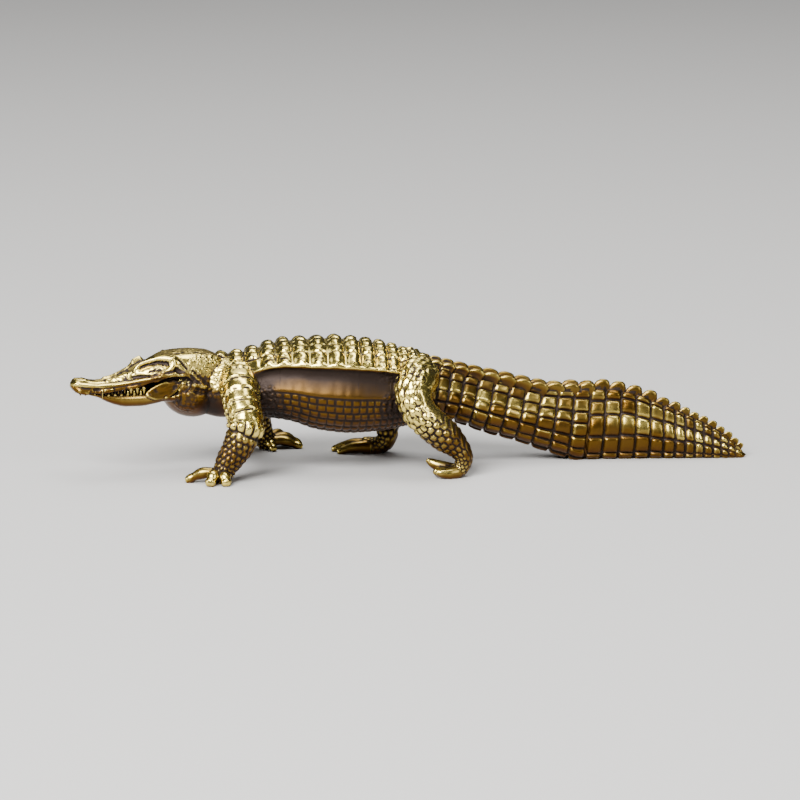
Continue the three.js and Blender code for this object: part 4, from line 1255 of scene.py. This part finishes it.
def brass():
    # aged brass, whose colour holds painted light and painted shade as well as wear and patina
    material = bpy.data.materials.new("agedBrassAndPaintedLight")
    material.use_nodes = True
    tree = material.node_tree
    tree.nodes.clear()
    start = Wire(tree)
    coords = start.add("ShaderNodeTexCoord", output=3)

    def noise(size, detail):
        return start.add("ShaderNodeTexNoise", {}, {"Vector": coords, "Scale": size, "Detail": detail})

    def blend(a, b, share):
        return start.add("ShaderNodeMix", {"data_type": "RGBA"}, {0: share, 6: a, 7: b}, output=2)
    specks = noise(brassFinish["speckSize"], 3.0)
    pebbles = start.add("ShaderNodeTexVoronoi", {"feature": "F1"},
                        {"Vector": coords, "Scale": brassFinish["pebbleSize"]})
    seen = {name: start.add("ShaderNodeAttribute", {"attribute_name": name}, output=2) for name in (
        "hollow", "raisedPart", "recess", "occlusionShade", "rubbedAndLit", "undersideShade", "pebbled")}
    seen["blotches"] = noise(brassFinish["tarnishSize"], 4.0) - 0.5
    seen["specks"] = specks - 0.5
    seen["gaps"] = pebbles.between(*brassFinish["pebbleGap"]) * seen["pebbled"]

    def weighed(weights):
        return sum(seen[name] * weight for name, weight in weights.items())
    # the brass painted bright: partly wear, partly painted light on top and a painted highlight on the raised
    # parts, and less under painted shade
    seen["wornAndLit"] = (seen["rubbedAndLit"] + weighed(brassFinish["wearAndLight"])).between(*brassFinish["wearAndLightShows"])
    # patina in the hollows and gaps between scales, with painted shade in the sheltered corners and broad
    # recesses and where the brass is painted darker
    seen["patinaAndShade"] = weighed(brassFinish["patinaAndShade"]).between(*brassFinish["patinaAndShadeShows"])
    # reddish painted shade on the undersides and in sheltered corners
    paintedUnderShade = weighed(brassFinish["paintedUnderShadeBy"]).between(*brassFinish["paintedUnderShadeShows"])
    colour = blend(brassFinish["agedAndShaded"], brassFinish["polished"], seen["wornAndLit"])
    colour = blend(blend(colour, brassFinish["paintedUnderShade"], paintedUnderShade), brassFinish["patinaAndShadeColour"], seen["patinaAndShade"])
    fine = start.add("ShaderNodeBump", {}, {"Height": specks, "Strength": brassFinish["grainStrength"],
                                            "Distance": brassFinish["grain"]})
    bump = start.add("ShaderNodeBump", {}, {"Height": (1 - pebbles) * seen["pebbled"], "Strength": 1.0,
                                            "Distance": brassFinish["pebbleHeight"], "Normal": fine})
    shader = start.add("ShaderNodeBsdfPrincipled", {}, {
        "Base Color": colour, "Metallic": 1 - seen["patinaAndShade"] * brassFinish["patinaAndShadeDulls"],
        "Roughness": brassFinish["roughness"] + weighed(brassFinish["roughnessBy"]), "Normal": bump})
    start.add("ShaderNodeOutputMaterial", {}, {"Surface": shader})
    return material


# Setting the figure into the frame: millimetres to metres, soles flat on the floor

placing = {"drawingCentre": (0.4773, 0.474), "millimetre": 0.001}


def setInFrame(piece):
    shift = Matrix.Translation((-placing["drawingCentre"][0], -placing["drawingCentre"][1], 0))
    piece.data.transform(Matrix.Scale(placing["millimetre"], 4) @ shift)


markRelief(alligator.data)
print("hollows and worn parts marked")
setInFrame(alligator)
alligator.data.materials.clear()
alligator.data.materials.append(brass())
alligator.data.polygons.foreach_set("use_smooth", [True] * len(alligator.data.polygons))


# Floor, light and camera

studio = {
    "floorSize": 4.0,
    "floorColour": (0.42, 0.412, 0.4, 1),
    "floorRoughness": 0.75,
    "world": (0.04, 0.042, 0.045, 1),
    "lamps": [
        {"name": "keyBox", "at": (-0.24, -0.42, 0.42), "size": (0.44, 0.3), "watts": 14.0},
        {"name": "topBox", "at": (0.08, 0.06, 0.6), "size": (0.5, 0.2), "watts": 3.4},
        {"name": "fillBox", "at": (0.45, -0.4, 0.3), "size": (0.16, 0.3), "watts": 1.4},
        {"name": "sideBox", "at": (-0.6, -0.12, 0.14), "size": (0.2, 0.16), "watts": 1.2},
        {"name": "roomBox", "at": (0.0, 1.2, 2.2), "size": (2.0, 2.0), "watts": 24.0},
    ],
}


def turnedTo(direction):
    return direction.to_track_quat("-Z", "Y").to_euler()


def floorMaterial():
    material = bpy.data.materials.new("paleFloor")
    material.use_nodes = True
    shader = material.node_tree.nodes["Principled BSDF"]
    shader.inputs["Base Color"].default_value = studio["floorColour"]
    shader.inputs["Roughness"].default_value = studio["floorRoughness"]
    return material


def buildStudio():
    bm = bmesh.new()
    bmesh.ops.create_grid(bm, x_segments=2, y_segments=2, size=studio["floorSize"] / 2)
    floor = asObject(bm, "floor")
    floor.data.materials.append(floorMaterial())
    world = bpy.data.worlds.new("room")
    bpy.context.scene.world = world
    world.use_nodes = True
    world.node_tree.nodes["Background"].inputs["Color"].default_value = studio["world"]
    for lamp in studio["lamps"]:
        light = bpy.data.lights.new(lamp["name"], "AREA")
        light.shape = "RECTANGLE"
        light.size, light.size_y = lamp["size"]
        light.energy = lamp["watts"]
        made = bpy.data.objects.new(lamp["name"], light)
        made.location = lamp["at"]
        made.rotation_euler = turnedTo(-Vector(lamp["at"]))
        bpy.context.scene.collection.objects.link(made)


view = {
    "target": (-0.001377, -0.000474, 0.00772),
    "distance": 0.45,
    "sideways": math.radians(-3.8),
    "above": math.radians(11.5),
    "lens": 171.5,
    "sensor": 36,
    "clip": (0.01, 20),
}


def buildCamera():
    a, e = view["sideways"], view["above"]
    backward = Vector((math.sin(a) * math.cos(e), -math.cos(a) * math.cos(e), math.sin(e)))
    data = bpy.data.cameras.new("camera")
    data.lens = view["lens"]
    data.sensor_width = view["sensor"]
    data.clip_start, data.clip_end = view["clip"]
    camera = bpy.data.objects.new("camera", data)
    camera.location = Vector(view["target"]) + view["distance"] * backward
    camera.rotation_euler = turnedTo(-backward)
    bpy.context.scene.collection.objects.link(camera)
    bpy.context.scene.camera = camera


buildStudio()
buildCamera()

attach(alligator, "root")
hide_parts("alligator")
print("triangles", sum(len(face.vertices) - 2 for face in alligator.data.polygons))
